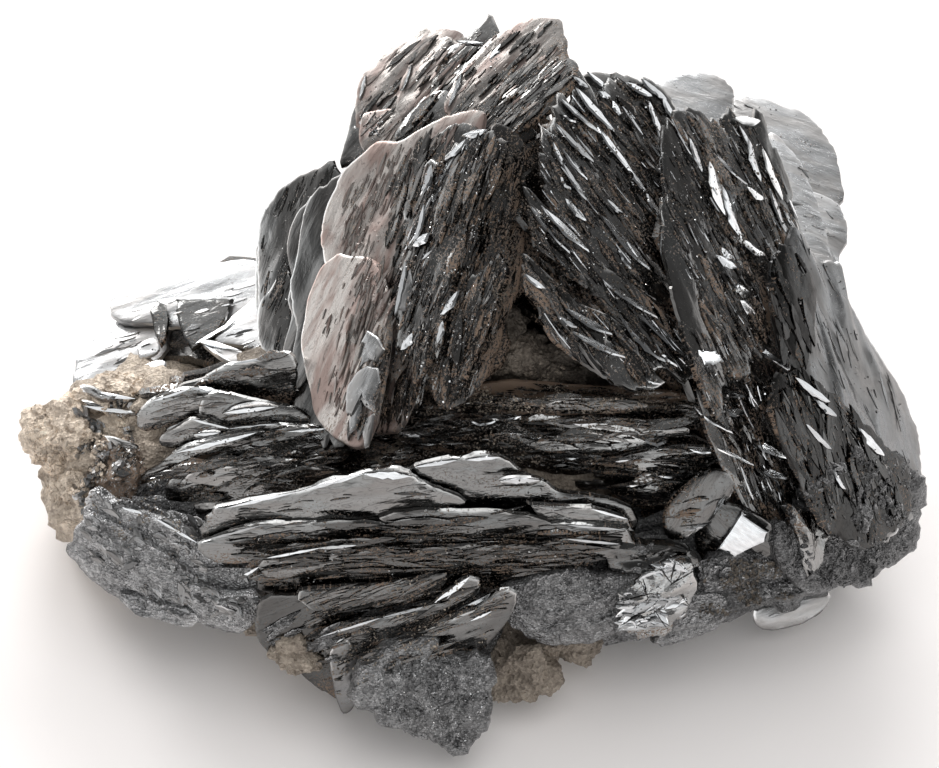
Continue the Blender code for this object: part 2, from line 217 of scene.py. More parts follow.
def smooth_outline(corners, spacing):
    """A closed Catmull-Rom curve through the corners, as evenly spaced points."""
    corners = np.asarray(corners)
    count = len(corners)
    curve = []
    for index in range(count):
        before, start, end, after = (corners[(index + step) % count] for step in (-1, 0, 1, 2))
        pieces = max(2, int(np.linalg.norm(end - start) / (spacing * 0.5)))
        for share in np.linspace(0.0, 1.0, pieces, endpoint=False):
            curve.append(0.5 * (2.0 * start + (end - before) * share
                                + (2.0 * before - 5.0 * start + 4.0 * end - after) * share ** 2
                                + (3.0 * start - before - 3.0 * end + after) * share ** 3))
    curve = np.array(curve)
    closed = np.vstack((curve, curve[:1]))
    lengths = np.linalg.norm(np.diff(closed, axis=0), axis=1)
    travelled = np.concatenate(((0.0,), np.cumsum(lengths)))
    steps = max(LEAST_CORNERS, int(travelled[-1] / spacing))
    wanted = np.linspace(0.0, travelled[-1], steps, endpoint=False)
    return np.column_stack([np.interp(wanted, travelled, closed[:, axis]) for axis in (0, 1)])


def rim_teeth(u, v, wave):
    """How far a broken rim juts out at one place of a plate."""
    return (0.8 * noise.cell(Vector((u * 0.7, v * 0.7, wave)))
            + 0.7 * noise.noise(Vector((u * 2.3, v * 2.3, wave))))


def inset(outline, depth):
    """The outline drawn in towards its centre by a depth."""
    centre = outline.mean(axis=0)
    spokes = outline - centre
    reach = np.linalg.norm(spokes, axis=1)[:, None]
    return centre + spokes * np.maximum(LEAST_INSET, 1.0 - depth / np.maximum(reach, SMALLEST))


def shell(gather, axes, middle, outline, heights, slot, stain, tone, settling=0.0):
    """A closed shell from rings. heights lists (ring, its heights, its tone) from the
    underside to the top; axes are the grain, side and normal. settling is how much more
    dust lies on the side away from the free rim."""
    grain, side, normal = axes
    count = len(outline)
    rings = [ring for ring, _, _ in heights]
    centre = outline.mean(axis=0)
    flat = np.vstack(rings + [centre[None], centre[None]])
    levels = [np.broadcast_to(level, (count,)) for _, level, _ in heights]
    tones = [np.broadcast_to(value, (count,)) for _, _, value in heights]
    lift = np.concatenate(levels + [[levels[0].mean(), levels[-1].mean()]])
    tones = np.concatenate(tones + [[tones[0].mean(), tones[-1].mean()]]) * tone
    points = middle + flat[:, :1] * grain + flat[:, 1:] * side + lift[:, None] * normal
    faces = ring_faces(count, len(rings))
    under = len(flat) - 2
    top = len(flat) - 1
    last = (len(rings) - 1) * count
    for index in range(count):
        after = (index + 1) % count
        faces.append((under, after, index))
        faces.append((top, last + index, last + after))
    shift = (chance.uniform(0.0, 99.0), chance.uniform(0.0, 99.0))
    buried = np.clip(-1.6 * flat[:, 1] / max(np.abs(outline[:, 1]).max(), SMALLEST) - 0.4, 0.0, 1.0)
    gather.add(points, faces, flat + shift, stain + settling * buried, tones, slot)


def painted_rim_shading(outline, gleam):
    """Painted highlight and painted shade on a rim: brighter tone where the rim faces
    the free side, and darker on the other side.
    """
    spokes = outline - outline.mean(axis=0)
    facing_side = 1.6 * spokes[:, 1] / np.maximum(np.abs(spokes[:, 1]).max(), SMALLEST)
    shaded = 0.7 * min(1.0, gleam)
    return 1.0 + gleam * np.clip(facing_side, 0.0, 1.0) - shaded * np.clip(-facing_side, 0.0, 1.0)


def flake(gather, axes, middle, outline, thickness, slot, stain, tone, gleam=1.0):
    """A small flake with a bevelled rim, its free side painted lighter and the other
    side painted darker.
    """
    narrow = min(0.3, 0.3 * np.abs(outline[:, 1]).max())
    bright = painted_rim_shading(outline, gleam)
    heights = [(outline, -0.3 * thickness, bright), (inset(outline, narrow), 0.5 * thickness, 1.0)]
    shell(gather, axes, middle, outline, heights, slot, stain, tone)


def plate_waves(u, v, offset):
    """Coarse and fine unevenness of a plate's face, stretched along its grain."""
    return (noise.noise(Vector((u * 0.22 + offset, v * 0.75, 0.0)))
            + 0.5 * noise.noise(Vector((u * 0.5, v * 1.6, offset))))


def crystal_plate(gather, axes, middle, outline, thickness, slot, stain, tone, ripple, dome,
                  gleam):
    """A large plate: lens-shaped rim, slightly domed, and rippled along its grain. Its
    rim is painted lighter on the free side and darker on the other.
    """
    soft = inset(outline, FIRST_BEVEL)
    softer = inset(outline, SECOND_BEVEL)
    bright = painted_rim_shading(outline, gleam)
    heights = [(softer, -0.5 * thickness, 1.0), (soft, -0.4 * thickness, 1.0),
               (outline, 0.0, bright), (soft, 0.4 * thickness, bright),
               (softer, 0.5 * thickness, 1.0)]
    centre = outline.mean(axis=0)
    reach = np.linalg.norm(softer - centre, axis=1).mean()
    dome *= min(1.0, reach / FULL_DOME)
    steps = int(min(MOST_RINGS, max(LEAST_RINGS, reach / RING_STEP)))
    offset = chance.uniform(0.0, 50.0)
    for step in range(1, steps):
        share = 1.0 - step / steps
        ring = centre + (softer - centre) * share
        waves = np.array([plate_waves(u, v, offset) for u, v in ring])
        fade = min(1.0, 3.0 * (1.0 - share))
        rise = dome * (1.0 - share ** 2) + waves * ripple * fade
        heights.append((ring, 0.5 * thickness + rise, 1.0))
    shell(gather, axes, middle, outline, heights, slot, stain, tone, PLATE_SETTLING)


def lens_outline(length, width, corners, bow=0.3):
    """A long flake with pointed ends, bowed to one side."""
    half = corners // 2
    there = np.linspace(-1.0, 1.0, half, endpoint=False)
    back = -there
    ends = 1.0 - np.abs(there) ** 1.7
    ragged = np.array([chance.uniform(0.75, 1.2) for _ in range(corners)])
    along = np.concatenate((there, back)) * length * 0.5
    across = np.concatenate((-ends * (1.0 - bow), ends * (1.0 + bow))) * width * 0.5 * ragged
    return np.column_stack((along, across))


def lobed_outline(length, width, corners, lobes):
    """An uneven oval."""
    turns = np.arange(corners) / corners * math.tau
    wave = chance.uniform(0.0, math.tau)
    reach = (1.0 + lobes * np.sin(3.0 * turns + wave)
             + 0.7 * lobes * np.sin(5.0 * turns + 2.3 * wave)
             + 0.4 * lobes * np.sin(11.0 * turns + 1.7 * wave))
    return np.column_stack((np.cos(turns) * length * 0.5 * reach,
                            np.sin(turns) * width * 0.5 * reach))


def inside(pixel, outline):
    """Whether a pixel lies inside a closed outline of pixels."""
    crossings = False
    before = outline[-1]
    for corner in outline:
        if (corner[1] > pixel[1]) != (before[1] > pixel[1]):
            share = (pixel[1] - before[1]) / (corner[1] - before[1])
            cut = before[0] + share * (corner[0] - before[0])
            if pixel[0] < cut:
                crossings = not crossings
        before = corner
    return crossings


def some_pixel(outline):
    """A random pixel inside an outline."""
    across = [corner[0] for corner in outline]
    down = [corner[1] for corner in outline]
    while True:
        pixel = (chance.uniform(min(across), max(across)), chance.uniform(min(down), max(down)))
        if inside(pixel, outline):
            return pixel


def axes_about(normal, along):
    """Grain, side and normal of a plane whose grain runs nearest to along."""
    normal = unit(normal)
    grain = unit(along - normal * np.dot(along, normal))
    return grain, np.cross(normal, grain), normal


# ---------------------------------------------------------------- a book of plates
class Book:
    """A stack of parallel plates. facing is the way the plates look and along is the
    way their grain runs, both in the display frame; origin is where level 0 lies.
    The plates' free rims are on the side that facing x along points to."""

    def __init__(self, gather, origin, facing, along, slot=MIRROR):
        self.gather = gather
        self.origin = np.array(origin, float)
        self.along = np.array(along, float)
        self.grain, self.side, self.normal = axes_about(np.array(facing, float), self.along)
        self.slot = slot

    def plate(self, level, pixels, thickness=0.6, lean=0.0, stain=0.0, tone=1.0, ripple=0.14,
              dome=0.25, jagged=0.04, gleam=2.0, slot=None, angular=False):
        """A plate drawn by its outline in the photograph's pixels. One without a level
        rests on whatever the camera sees there. An angular one keeps sharp corners.
        lean is in degrees; thickness, ripple and dome are in millimetres. stain is how
        dusty it is, tone how bright, and gleam how strong the painted highlight on its
        free rim is, which also sets the painted shade on its other rim."""
        axes = axes_about(self.normal + self.side * math.tan(math.radians(lean)), self.along)
        if level is None:
            origin = self.resting_place(pixels) + self.normal * thickness * RESTING_RISE
        else:
            origin = self.origin + self.normal * level
        corners = np.array([on_plane(pixel, origin, axes[2]) for pixel in pixels])
        middle = corners.mean(axis=0)
        flat = np.column_stack(((corners - middle) @ axes[0], (corners - middle) @ axes[1]))
        outline = smooth_outline(np.repeat(flat, 2, axis=0) if angular else flat, OUTLINE_STEP)
        wave = chance.uniform(0.0, 40.0)
        teeth = np.array([rim_teeth(u, v, wave) for u, v in outline])
        outline = anticlockwise(outline * (1.0 + teeth[:, None] * jagged))
        crystal_plate(self.gather, axes, middle, outline, thickness,
                      self.slot if slot is None else slot, stain,
                      tone * chance.uniform(*PLATE_TONES), ripple, dome, gleam)

    def resting_place(self, pixels):
        """What the camera sees in the middle of a plate's outline."""
        middle = np.array(pixels, float).mean(axis=0)
        return meet(self.gather.surface(), CAMERA_SPOT, sight(middle))[0]

    def core(self, centre, radii, ceiling, seed, stain=1.2, tone=0.6, slot=None):
        """What the plates grow from: a hewn lump, and broken plates packed round it
        whose edges show at the sides and back. Both stay under a level of the book."""
        slot = self.slot if slot is None else slot
        centre = np.array(centre, float)
        radii = np.array(radii)
        place = self.origin + self.normal * ceiling
        lump(self.gather, centre, radii * LUMP_SHARE, slot, seed=seed, stain=stain, tone=tone,
             under=(place, self.normal))
        extents = [np.linalg.norm(radii * axis) for axis in (self.grain, self.side, self.normal)]
        highest = min(PACK_TOP * extents[2], np.dot(place - centre, self.normal))
        level = PACK_FOOT * extents[2]
        while level < highest - PACK_PITCH:
            share = math.sqrt(1.0 - (level / extents[2]) ** 2)
            for _ in range(PACKS):
                size = chance.uniform(*PACK_SIZES)
                shift = PACK_REACH - size
                turn = chance.uniform(0.0, math.tau)
                middle = (centre + self.normal * (level + chance.uniform(0.0, PACK_PITCH))
                          + self.grain * extents[0] * share * shift * math.cos(turn)
                          + self.side * extents[1] * share * shift * math.sin(turn))
                tilt = (self.grain * chance.gauss(0.0, PACK_TILT)
                        + self.side * chance.gauss(0.0, PACK_TILT))
                outline = broken_outline(2.0 * extents[0] * share * size,
                                         2.0 * extents[1] * share * size)
                flake(self.gather, axes_about(self.normal + tilt, self.along), middle, outline,
                      PACK_PITCH * chance.uniform(0.5, 1.1), slot,
                      stain * chance.uniform(0.3, 1.0), tone * chance.uniform(0.9, 1.9), 0.6)
            level += PACK_PITCH

    def strew(self, pixels, count, length=(0.6, 3.0), width=(0.12, 0.5), thickness=(0.04, 0.12),
              lean=(-7.0, 3.0), pitch=2.0, swing=6.0, follow=0.5, lift=0.25, stain=0.25,
              tone=(0.6, 1.2), slot=None, corners=10, steepest=0.35, grain=None, gleam=1.2,
              wide_slack=1.0):
        """Flakes strewn in swarms over one region of what the camera sees, leaning with
        the book. They keep clear of the outline of what they lie on. length, width and
        thickness are ranges in millimetres and lean is one in degrees; pitch and swing
        are spreads in degrees. follow is how far a flake lies along the surface rather
        than the book, lift how far it stands out in thicknesses, steepest the least
        cosine between the surface and the book, and wide_slack how many millimetres a
        flake's ends may stand off the surface."""
        tree = self.gather.surface()
        seed = chance.uniform(0.0, 99.0)
        run = self.grain if grain is None else unit(np.array(grain, float))
        for _ in range(count):
            pixel = some_pixel(pixels)
            swarm = Vector((pixel[0] * FLAKE_WAVES, pixel[1] * FLAKE_WAVES, seed))
            if noise.noise(swarm) < SWARM_LIMIT:
                continue
            found = meet(tree, CAMERA_SPOT, sight(pixel))
            if found is None or np.dot(found[1], self.normal) < steepest:
                continue
            leaning = (self.side * math.tan(math.radians(chance.uniform(*lean)))
                       + self.grain * math.tan(math.radians(chance.gauss(0.0, pitch))))
            turn = math.radians(chance.gauss(0.0, swing))
            along = run * math.cos(turn) + np.cross(self.normal, run) * math.sin(turn)
            axes = axes_about(found[1] * follow + self.normal * (1.0 - follow) + leaning, along)
            size = chance.random() ** 2
            long = length[0] + (length[1] - length[0]) * size
            wide = min(width[0] + (width[1] - width[0]) * size * chance.uniform(0.6, 1.2), long)
            thick = chance.uniform(*thickness)
            middle = found[0] + axes[2] * lift * thick
            ends = (middle + axes[0] * long * 0.5, middle - axes[0] * long * 0.5)
            if not all(backed(tree, end, wide_slack) for end in ends):
                continue
            flake(self.gather, axes, middle, lens_outline(long, wide, corners), thick,
                  self.slot if slot is None else slot, stain * chance.uniform(0.3, 1.5),
                  chance.uniform(*tone), gleam)

    def shingle(self, pixels, count, length=(1.8, 5.5), width=(0.45, 1.2), **settings):
        """Middling lens-shaped plates, overlapping like shingles."""
        common = {"thickness": (0.12, 0.30), "lean": (-9.0, -1.0), "swing": 5.0, "follow": 0.4,
                  "stain": 0.7, "tone": (0.55, 1.15), "corners": 16, "gleam": 2.2, "lift": 0.5,
                  "steepest": ANY_SLOPE, "wide_slack": 2.0}
        self.strew(pixels, count, length, width, **{**common, **settings})

    def glints(self, slivers, lean=26.0, tone=1.0, slot=PAINTED_GLINT, facing=None):
        """Narrow edge facets between two pixels, a number of pixels wide, painted as highlights
        in the pale facet metal unless given another slot. They lean to the free side of the
        book unless they are given a facing of their own."""
        tree = self.gather.surface()
        for start, end, wide in slivers:
            between = ((start[0] + end[0]) / 2, (start[1] + end[1]) / 2)
            found = meet(tree, CAMERA_SPOT, sight(between))
            if found is None:
                continue
            first = on_plane(start, found[0], self.normal)
            last = on_plane(end, found[0], self.normal)
            axis = last - first
            if np.dot(axis, self.grain) < 0.0:
                axis = -axis
            tilt = math.radians(lean + chance.gauss(0.0, 2.0))
            across = np.cross(self.normal, unit(axis))
            way = self.normal * math.cos(tilt) + across * math.sin(tilt)
            axes = axes_about(way if facing is None else np.array(facing, float), axis)
            broad = wide * PIXEL / max(LEAST_SHOWN, axes[2][2])
            outline = lens_outline(np.linalg.norm(axis) * GLINT_OVERHANG, broad, 16, bow=-0.25)
            rise = 0.5 * broad * abs(math.sin(tilt)) + GLINT_RISE
            flake(self.gather, axes, (first + last) / 2 + self.normal * rise, outline,
                  GLINT_THICKNESS, slot, 0.0, tone * chance.uniform(0.5, 1.1), 0.0)


def specks(gather, pixels, count, size=(0.08, 0.26), slot=MIRROR, stain=0.0, tone=(0.7, 1.6),
           wild=0.8):
    """Small loose chips lying every way, in swarms, over a region that the camera sees."""
    tree = gather.surface()
    seed = chance.uniform(0.0, 99.0)
    for _ in range(count):
        pixel = some_pixel(pixels)
        if noise.noise(Vector((pixel[0] * SPECK_WAVES, pixel[1] * SPECK_WAVES, seed))) < 0.0:
            continue
        found = meet(tree, CAMERA_SPOT, sight(pixel))
        if found is None:
            continue
        toss = np.array([chance.gauss(0.0, wild) for _ in range(3)])
        along = np.array([chance.gauss(0.0, 1.0) for _ in range(3)])
        axes = axes_about(found[1] + toss, along)
        across = chance.uniform(*size)
        outline = lobed_outline(across, across * chance.uniform(0.4, 1.0), 5, 0.2)
        heights = [(outline, -0.1 * across, 1.0), (outline * 0.8, 0.15 * across, 1.0)]
        shell(gather, axes, found[0], outline, heights, slot, stain, chance.uniform(*tone))


# ---------------------------------------------------------------- lumps
def icosphere(detail):
    shape = bmesh.new()
    bmesh.ops.create_icosphere(shape, subdivisions=detail, radius=1.0)
    points = np.array([vertex.co[:] for vertex in shape.verts])
    faces = [tuple(vertex.index for vertex in face.verts) for face in shape.faces]
    shape.free()
    return points, faces


SPHERES = {detail: icosphere(detail) for detail in (4, 5)}
BULGE = 1.12                        # the furthest that a hewn rock reaches beyond a ball
HIDDEN_SIDE = -0.15                 # how far towards the camera the rock's cladding comes
CLAD_START = 60.0                   # mm from the middle of the rock, outside all of it
PRESSED = 0.94                      # how much of what passes a lump's ceiling is pressed down
DEPTH_GRAIN = 0.7                   # how far its depth shifts the grain on a lump


def hewn(directions, seed, planes=26, deepest=0.78):
    """How far a rough-hewn rock reaches each way, where a ball would reach 1."""
    pick = random.Random(seed)
    reach = np.full(len(directions), BULGE)
    for _ in range(planes):
        lean = directions @ unit(np.array([pick.gauss(0.0, 1.0) for _ in range(3)]))
        reach = np.minimum(reach, pick.uniform(deepest, 1.0) / np.maximum(lean, 0.01))
    return reach


def rough(spread, seed):
    """Coarse, middling and fine unevenness of a broken surface."""
    spot = Vector(spread) + Vector((0.0, seed, 0.0))
    return (0.9 * noise.noise(spot * 0.45) + 0.5 * noise.noise(spot * 1.1)
            + 0.3 * noise.cell(spot * 1.6) + 0.3 * noise.noise(spot * 3.1))


def lump(gather, centre, radii, slot, detail=4, grit=0.5, seed=0.0, stain=0.5, tone=0.8,
         under=None):
    """A rough-hewn lump. under is a plane that it stays beneath: a place and a normal."""
    directions, faces = SPHERES[detail]
    spread = directions * np.array(radii) * hewn(directions, seed)[:, None]
    lift = np.array([rough(place, seed) for place in spread]) * grit
    points = spread + directions * lift[:, None] + np.array(centre)
    if under is not None:
        over = np.maximum(0.0, (points - under[0]) @ under[1])
        points -= PRESSED * over[:, None] * under[1]
    grain = points[:, :2] + points[:, 2:] * DEPTH_GRAIN
    gather.add(points, faces, grain, np.full(len(points), stain), tone, slot)


def broken_outline(length, width, corners=9):
    """A plate broken along straight edges."""
    shifts = [chance.uniform(-0.3, 0.3) for _ in range(corners)]
    turns = (np.arange(corners) + shifts) / corners * math.tau
    reach = np.array([chance.uniform(0.82, 1.08) for _ in range(corners)])
    rim = np.column_stack((np.cos(turns) * reach * length * 0.5,
                           np.sin(turns) * reach * width * 0.5))
    halfway = (rim + np.roll(rim, -1, axis=0)) * 0.5
    halfway *= np.array([[chance.uniform(0.94, 1.03)] for _ in range(corners)])
    return np.stack((rim, halfway), axis=1).reshape(-1, 2)


def clad(gather, centre, count, size, slot, tone, stain=0.5):
    """Broken plates half sunk in the sides and back of a lump, where the camera doesn't
    look."""
    tree = gather.surface()
    centre = np.array(centre, float)
    for _ in range(count):
        way = unit(np.array([chance.gauss(0.0, 1.0) for _ in range(3)]))
        if way[2] > HIDDEN_SIDE:
            continue
        found = meet(tree, centre + way * CLAD_START, -way)
        if found is None:
            continue
        normal = found[1] + np.array([chance.gauss(0.0, 0.25) for _ in range(3)])
        axes = axes_about(normal, np.array([chance.gauss(0.0, 1.0) for _ in range(3)]))
        long = chance.uniform(*size)
        outline = broken_outline(long, long * chance.uniform(0.4, 0.8), 6)
        thick = long * chance.uniform(0.08, 0.2)
        flake(gather, axes, found[0] - axes[2] * thick * 0.1, outline, thick, slot,
              stain * chance.uniform(0.5, 1.5), chance.uniform(*tone))


# ---------------------------------------------------------------- materials
def node(tree, kind, **settings):
    made = tree.nodes.new(kind)
    for name, value in settings.items():
        setattr(made, name, value)
    return made


def new_material(name):
    material = bpy.data.materials.new(name)
    material.use_nodes = True
    tree = material.node_tree
    return material, tree, tree.nodes["Principled BSDF"]


def grain_noise(tree, stretch, detail=4.0, roughness=0.6, distortion=0.0):
    """Noise along the grain of each plate. stretch is its waves per millimetre, along
    the grain and across it."""
    grain = node(tree, "ShaderNodeUVMap", uv_map="grain")
    mapping = node(tree, "ShaderNodeMapping")
    mapping.inputs["Scale"].default_value = (stretch[0], stretch[1], 1.0)
    tree.links.new(grain.outputs["UV"], mapping.inputs["Vector"])
    made = node(tree, "ShaderNodeTexNoise")
    made.inputs["Scale"].default_value = 1.0
    made.inputs["Detail"].default_value = detail
    made.inputs["Roughness"].default_value = roughness
    made.inputs["Distortion"].default_value = distortion
    tree.links.new(mapping.outputs["Vector"], made.inputs["Vector"])
    return made.outputs["Fac"]


def remap(tree, value, low, high, to_low, to_high):
    made = node(tree, "ShaderNodeMapRange")
    made.inputs["From Min"].default_value = low
    made.inputs["From Max"].default_value = high
    made.inputs["To Min"].default_value = to_low
    made.inputs["To Max"].default_value = to_high
    tree.links.new(value, made.inputs["Value"])
    return made.outputs["Result"]


def arithmetic(tree, operation, *values):
    made = node(tree, "ShaderNodeMath", operation=operation)
    for socket, value in zip(made.inputs, values):
        if isinstance(value, (int, float)):
            socket.default_value = value
        else:
            tree.links.new(value, socket)
    return made.outputs["Value"]


def blend_colour(tree, share, first, second, way="MIX"):
    made = node(tree, "ShaderNodeMix", data_type="RGBA", blend_type=way,
                clamp_result=way == "MULTIPLY")
    sockets = (made.inputs["Factor"], made.inputs["A"], made.inputs["B"])
    for socket, value in zip(sockets, (share, first, second)):
        if isinstance(value, (tuple, float)):
            socket.default_value = value
        else:
            tree.links.new(value, socket)
    return made.outputs["Result"]


def grey(tree, value):
    made = node(tree, "ShaderNodeCombineColor")
    for channel in ("Red", "Green", "Blue"):
        tree.links.new(value, made.inputs[channel])
    return made.outputs["Color"]


def add_bump(tree, shader, relief, strength, depth):
    """Relief in the shading. depth is in metres."""
    bump = node(tree, "ShaderNodeBump")
    bump.inputs["Strength"].default_value = strength
    bump.inputs["Distance"].default_value = depth
    tree.links.new(relief, bump.inputs["Height"])
    tree.links.new(bump.outputs["Normal"], shader.inputs["Normal"])


DUST = (0.205, 0.145, 0.105, 1.0)
TERRACES = 9.0                      # steps that the layers noise is cut into


def hematite(name, clean, rust, rust_share, metallic, roughness, crack_shade, dustiness):
    """Plates stepped along the grain, with a film of rust in patches and brown dust
    where they are stained."""
    material, tree, shader = new_material(name)
    stain = node(tree, "ShaderNodeAttribute", attribute_name="stain").outputs["Fac"]
    # tone includes the painted highlights and painted shade on rims
    tone = node(tree, "ShaderNodeAttribute", attribute_name="tone").outputs["Fac"]
    patches = grain_noise(tree, (0.16, 0.45), 3.0, 0.6, 0.4)
    layers = grain_noise(tree, (0.26, 0.75), 4.0, 0.5, 0.4)
    fine = grain_noise(tree, (2.0, 6.0), 4.0, 0.7)
    speckle = grain_noise(tree, (4.5, 6.0), 3.0, 0.75)

    steps = arithmetic(tree, "MULTIPLY", layers, TERRACES)
    within = arithmetic(tree, "FRACT", steps)
    terrace = arithmetic(tree, "DIVIDE", arithmetic(tree, "FLOOR", steps), TERRACES)
    crack = remap(tree, within, 0.0, 0.14, crack_shade, 1.0)
    shade = remap(tree, fine, 0.30, 0.70, 0.90, 1.06)
    strength = arithmetic(tree, "MULTIPLY", arithmetic(tree, "MULTIPLY", shade, crack), tone)
    film = remap(tree, patches, 0.44, 0.60, 0.0, 1.0)
    rusty = arithmetic(tree, "MULTIPLY", film, rust_share)
    filmed = blend_colour(tree, rusty, clean, rust)
    metal = blend_colour(tree, 1.0, filmed, grey(tree, strength), "MULTIPLY")

    settled = arithmetic(tree, "ADD", remap(tree, patches, 0.35, 0.65, 0.11, -0.06),
                         arithmetic(tree, "MULTIPLY", stain, 0.14))
    threshold = arithmetic(tree, "SUBTRACT", 0.66 - dustiness, settled)
    over = arithmetic(tree, "SUBTRACT", speckle, threshold)
    dust = remap(tree, over, 0.0, 0.06, 0.0, 1.0)
    tree.links.new(blend_colour(tree, dust, metal, DUST), shader.inputs["Base Color"])
    tree.links.new(remap(tree, dust, 0.0, 1.0, metallic, 0.05), shader.inputs["Metallic"])
    polish = remap(tree, patches, 0.3, 0.7, roughness * 0.5, roughness * 1.7)
    tree.links.new(arithmetic(tree, "ADD", polish, remap(tree, dust, 0.0, 1.0, 0.0, 0.6)),
                   shader.inputs["Roughness"])

    relief = arithmetic(tree, "ADD", terrace, arithmetic(tree, "MULTIPLY", fine, 0.025))
    relief = arithmetic(tree, "ADD", relief, arithmetic(tree, "MULTIPLY", layers, 1.0))
    relief = arithmetic(tree, "ADD", relief, arithmetic(tree, "MULTIPLY", dust, 0.15))
    add_bump(tree, shader, relief, strength=0.38, depth=0.0003)
    return material


def granular(name, low, high, metallic, roughness, grains):
    """Rough grains of broken hematite or brown rock. grains is how many fit in 1 m."""
    material, tree, shader = new_material(name)
    place = node(tree, "ShaderNodeTexCoord").outputs["Object"]
    # tone includes the painted highlights and painted shade on rims
    tone = node(tree, "ShaderNodeAttribute", attribute_name="tone").outputs["Fac"]
    cells = node(tree, "ShaderNodeTexVoronoi")
    cells.inputs["Scale"].default_value = grains
    tree.links.new(place, cells.inputs["Vector"])
    patches = node(tree, "ShaderNodeTexNoise")
    patches.inputs["Scale"].default_value = grains * 0.16
    patches.inputs["Detail"].default_value = 7.0
    patches.inputs["Roughness"].default_value = 0.65
    tree.links.new(place, patches.inputs["Vector"])
    parts = node(tree, "ShaderNodeSeparateColor")
    tree.links.new(cells.outputs["Color"], parts.inputs["Color"])
    mixed = arithmetic(tree, "ADD", arithmetic(tree, "MULTIPLY", parts.outputs["Red"], 0.45),
                       remap(tree, patches.outputs["Fac"], 0.35, 0.65, 0.0, 0.55))
    coloured = blend_colour(tree, mixed, low, high)
    tree.links.new(blend_colour(tree, 1.0, coloured, grey(tree, tone), "MULTIPLY"),
                   shader.inputs["Base Color"])
    shader.inputs["Metallic"].default_value = metallic
    polish = remap(tree, parts.outputs["Green"], 0.0, 1.0, roughness * 0.6,
                   min(1.0, roughness * 1.4))
    tree.links.new(polish, shader.inputs["Roughness"])
    relief = arithmetic(tree, "ADD", cells.outputs["Distance"], patches.outputs["Fac"])
    add_bump(tree, shader, relief, strength=0.8, depth=0.00022)
    return material


def facet(name, colour, roughness):
    """Painted highlights: crystal faces in a metal far paler than hematite, which mirror
    the brightest part of the room.
    """
    material, tree, shader = new_material(name)
    fine = grain_noise(tree, (0.8, 3.0), 4.0, 0.6)
    tone = node(tree, "ShaderNodeAttribute", attribute_name="tone").outputs["Fac"]
    shade = arithmetic(tree, "MULTIPLY", remap(tree, fine, 0.3, 0.7, 0.75, 1.1), tone)
    tree.links.new(blend_colour(tree, 1.0, colour, grey(tree, shade), "MULTIPLY"),
                   shader.inputs["Base Color"])
    shader.inputs["Metallic"].default_value = 1.0
    tree.links.new(remap(tree, fine, 0.3, 0.7, roughness * 0.6, roughness * 1.6),
                   shader.inputs["Roughness"])
    add_bump(tree, shader, fine, strength=0.2, depth=0.0001)
    return material


MATERIALS = [
    hematite("mirror hematite", clean=(0.27, 0.272, 0.27, 1.0), rust=(0.150, 0.118, 0.100, 1.0),
             rust_share=0.25, metallic=1.0, roughness=0.12, crack_shade=0.62, dustiness=-0.005),
    hematite("rust filmed hematite", clean=(0.40, 0.375, 0.355, 1.0),
             rust=(0.190, 0.122, 0.104, 1.0), rust_share=0.75, metallic=0.6, roughness=0.26,
             crack_shade=0.45, dustiness=-0.02),
    granular("granular hematite", low=(0.08, 0.08, 0.082, 1.0), high=(0.46, 0.46, 0.465, 1.0),
             metallic=0.85, roughness=0.36, grains=5200.0),
    granular("brown rock", low=(0.115, 0.093, 0.075, 1.0), high=(0.40, 0.345, 0.285, 1.0),
             metallic=0.0, roughness=0.9, grains=4200.0),
    # painted highlight: far paler than hematite's own colour
    facet("painted highlight facet", colour=(0.86, 0.88, 0.90, 1.0), roughness=0.14),
    # satin finish, with a pale colour that is painted sheen
    hematite("satin hematite, painted sheen", clean=(0.40, 0.405, 0.41, 1.0), rust=(0.30, 0.26, 0.23, 1.0),
             rust_share=0.3, metallic=0.95, roughness=0.27, crack_shade=0.92, dustiness=-0.05),
]


# ---------------------------------------------------------------- the crystal groups
# Every plate in the tables below is its level in its book, its outline in pixels and,
# where it differs from the rest, settings of its own. Level None rests on what is there.
def lay_plates(book, plates, **common):
    for level, outline, *own in plates.values():
        settings = dict(common)
        settings.update(*own)
        book.plate(level, outline, **settings)


def sprinkle(gather, region, chips, facets, grains):
    """Loose chips, chips of painted highlight and brown grains, so many of each, over one region.
    """
    specks(gather, region, chips)
    specks(gather, region, facets, **PAINTED_GLINT_CHIPS)
    specks(gather, region, grains, **BROWN_GRAINS)


# Settings that several groups share: of strewn flakes, of specks and of plates
FINE = {"length": (0.5, 3.0), "width": (0.08, 0.4)}
RUBBLE = {"width": (0.2, 0.7), "steepest": ANY_SLOPE}
# Strewn sparks and specks of painted highlight, in the pale facet metal
PAINTED_SPARKS = {"slot": PAINTED_GLINT, "stain": 0.0, "tone": (0.4, 1.1), "follow": 0.2, "steepest": ANY_SLOPE,
          "gleam": 0.0}
PAINTED_GLINT_CHIPS = {"size": (0.08, 0.22), "slot": PAINTED_GLINT}
BROWN_GRAINS = {"slot": ROCK, "tone": (0.25, 0.7)}
BROKEN = {"gleam": 0.3, "jagged": 0.10, "dome": 0.5, "ripple": 0.7, "thickness": 1.2}


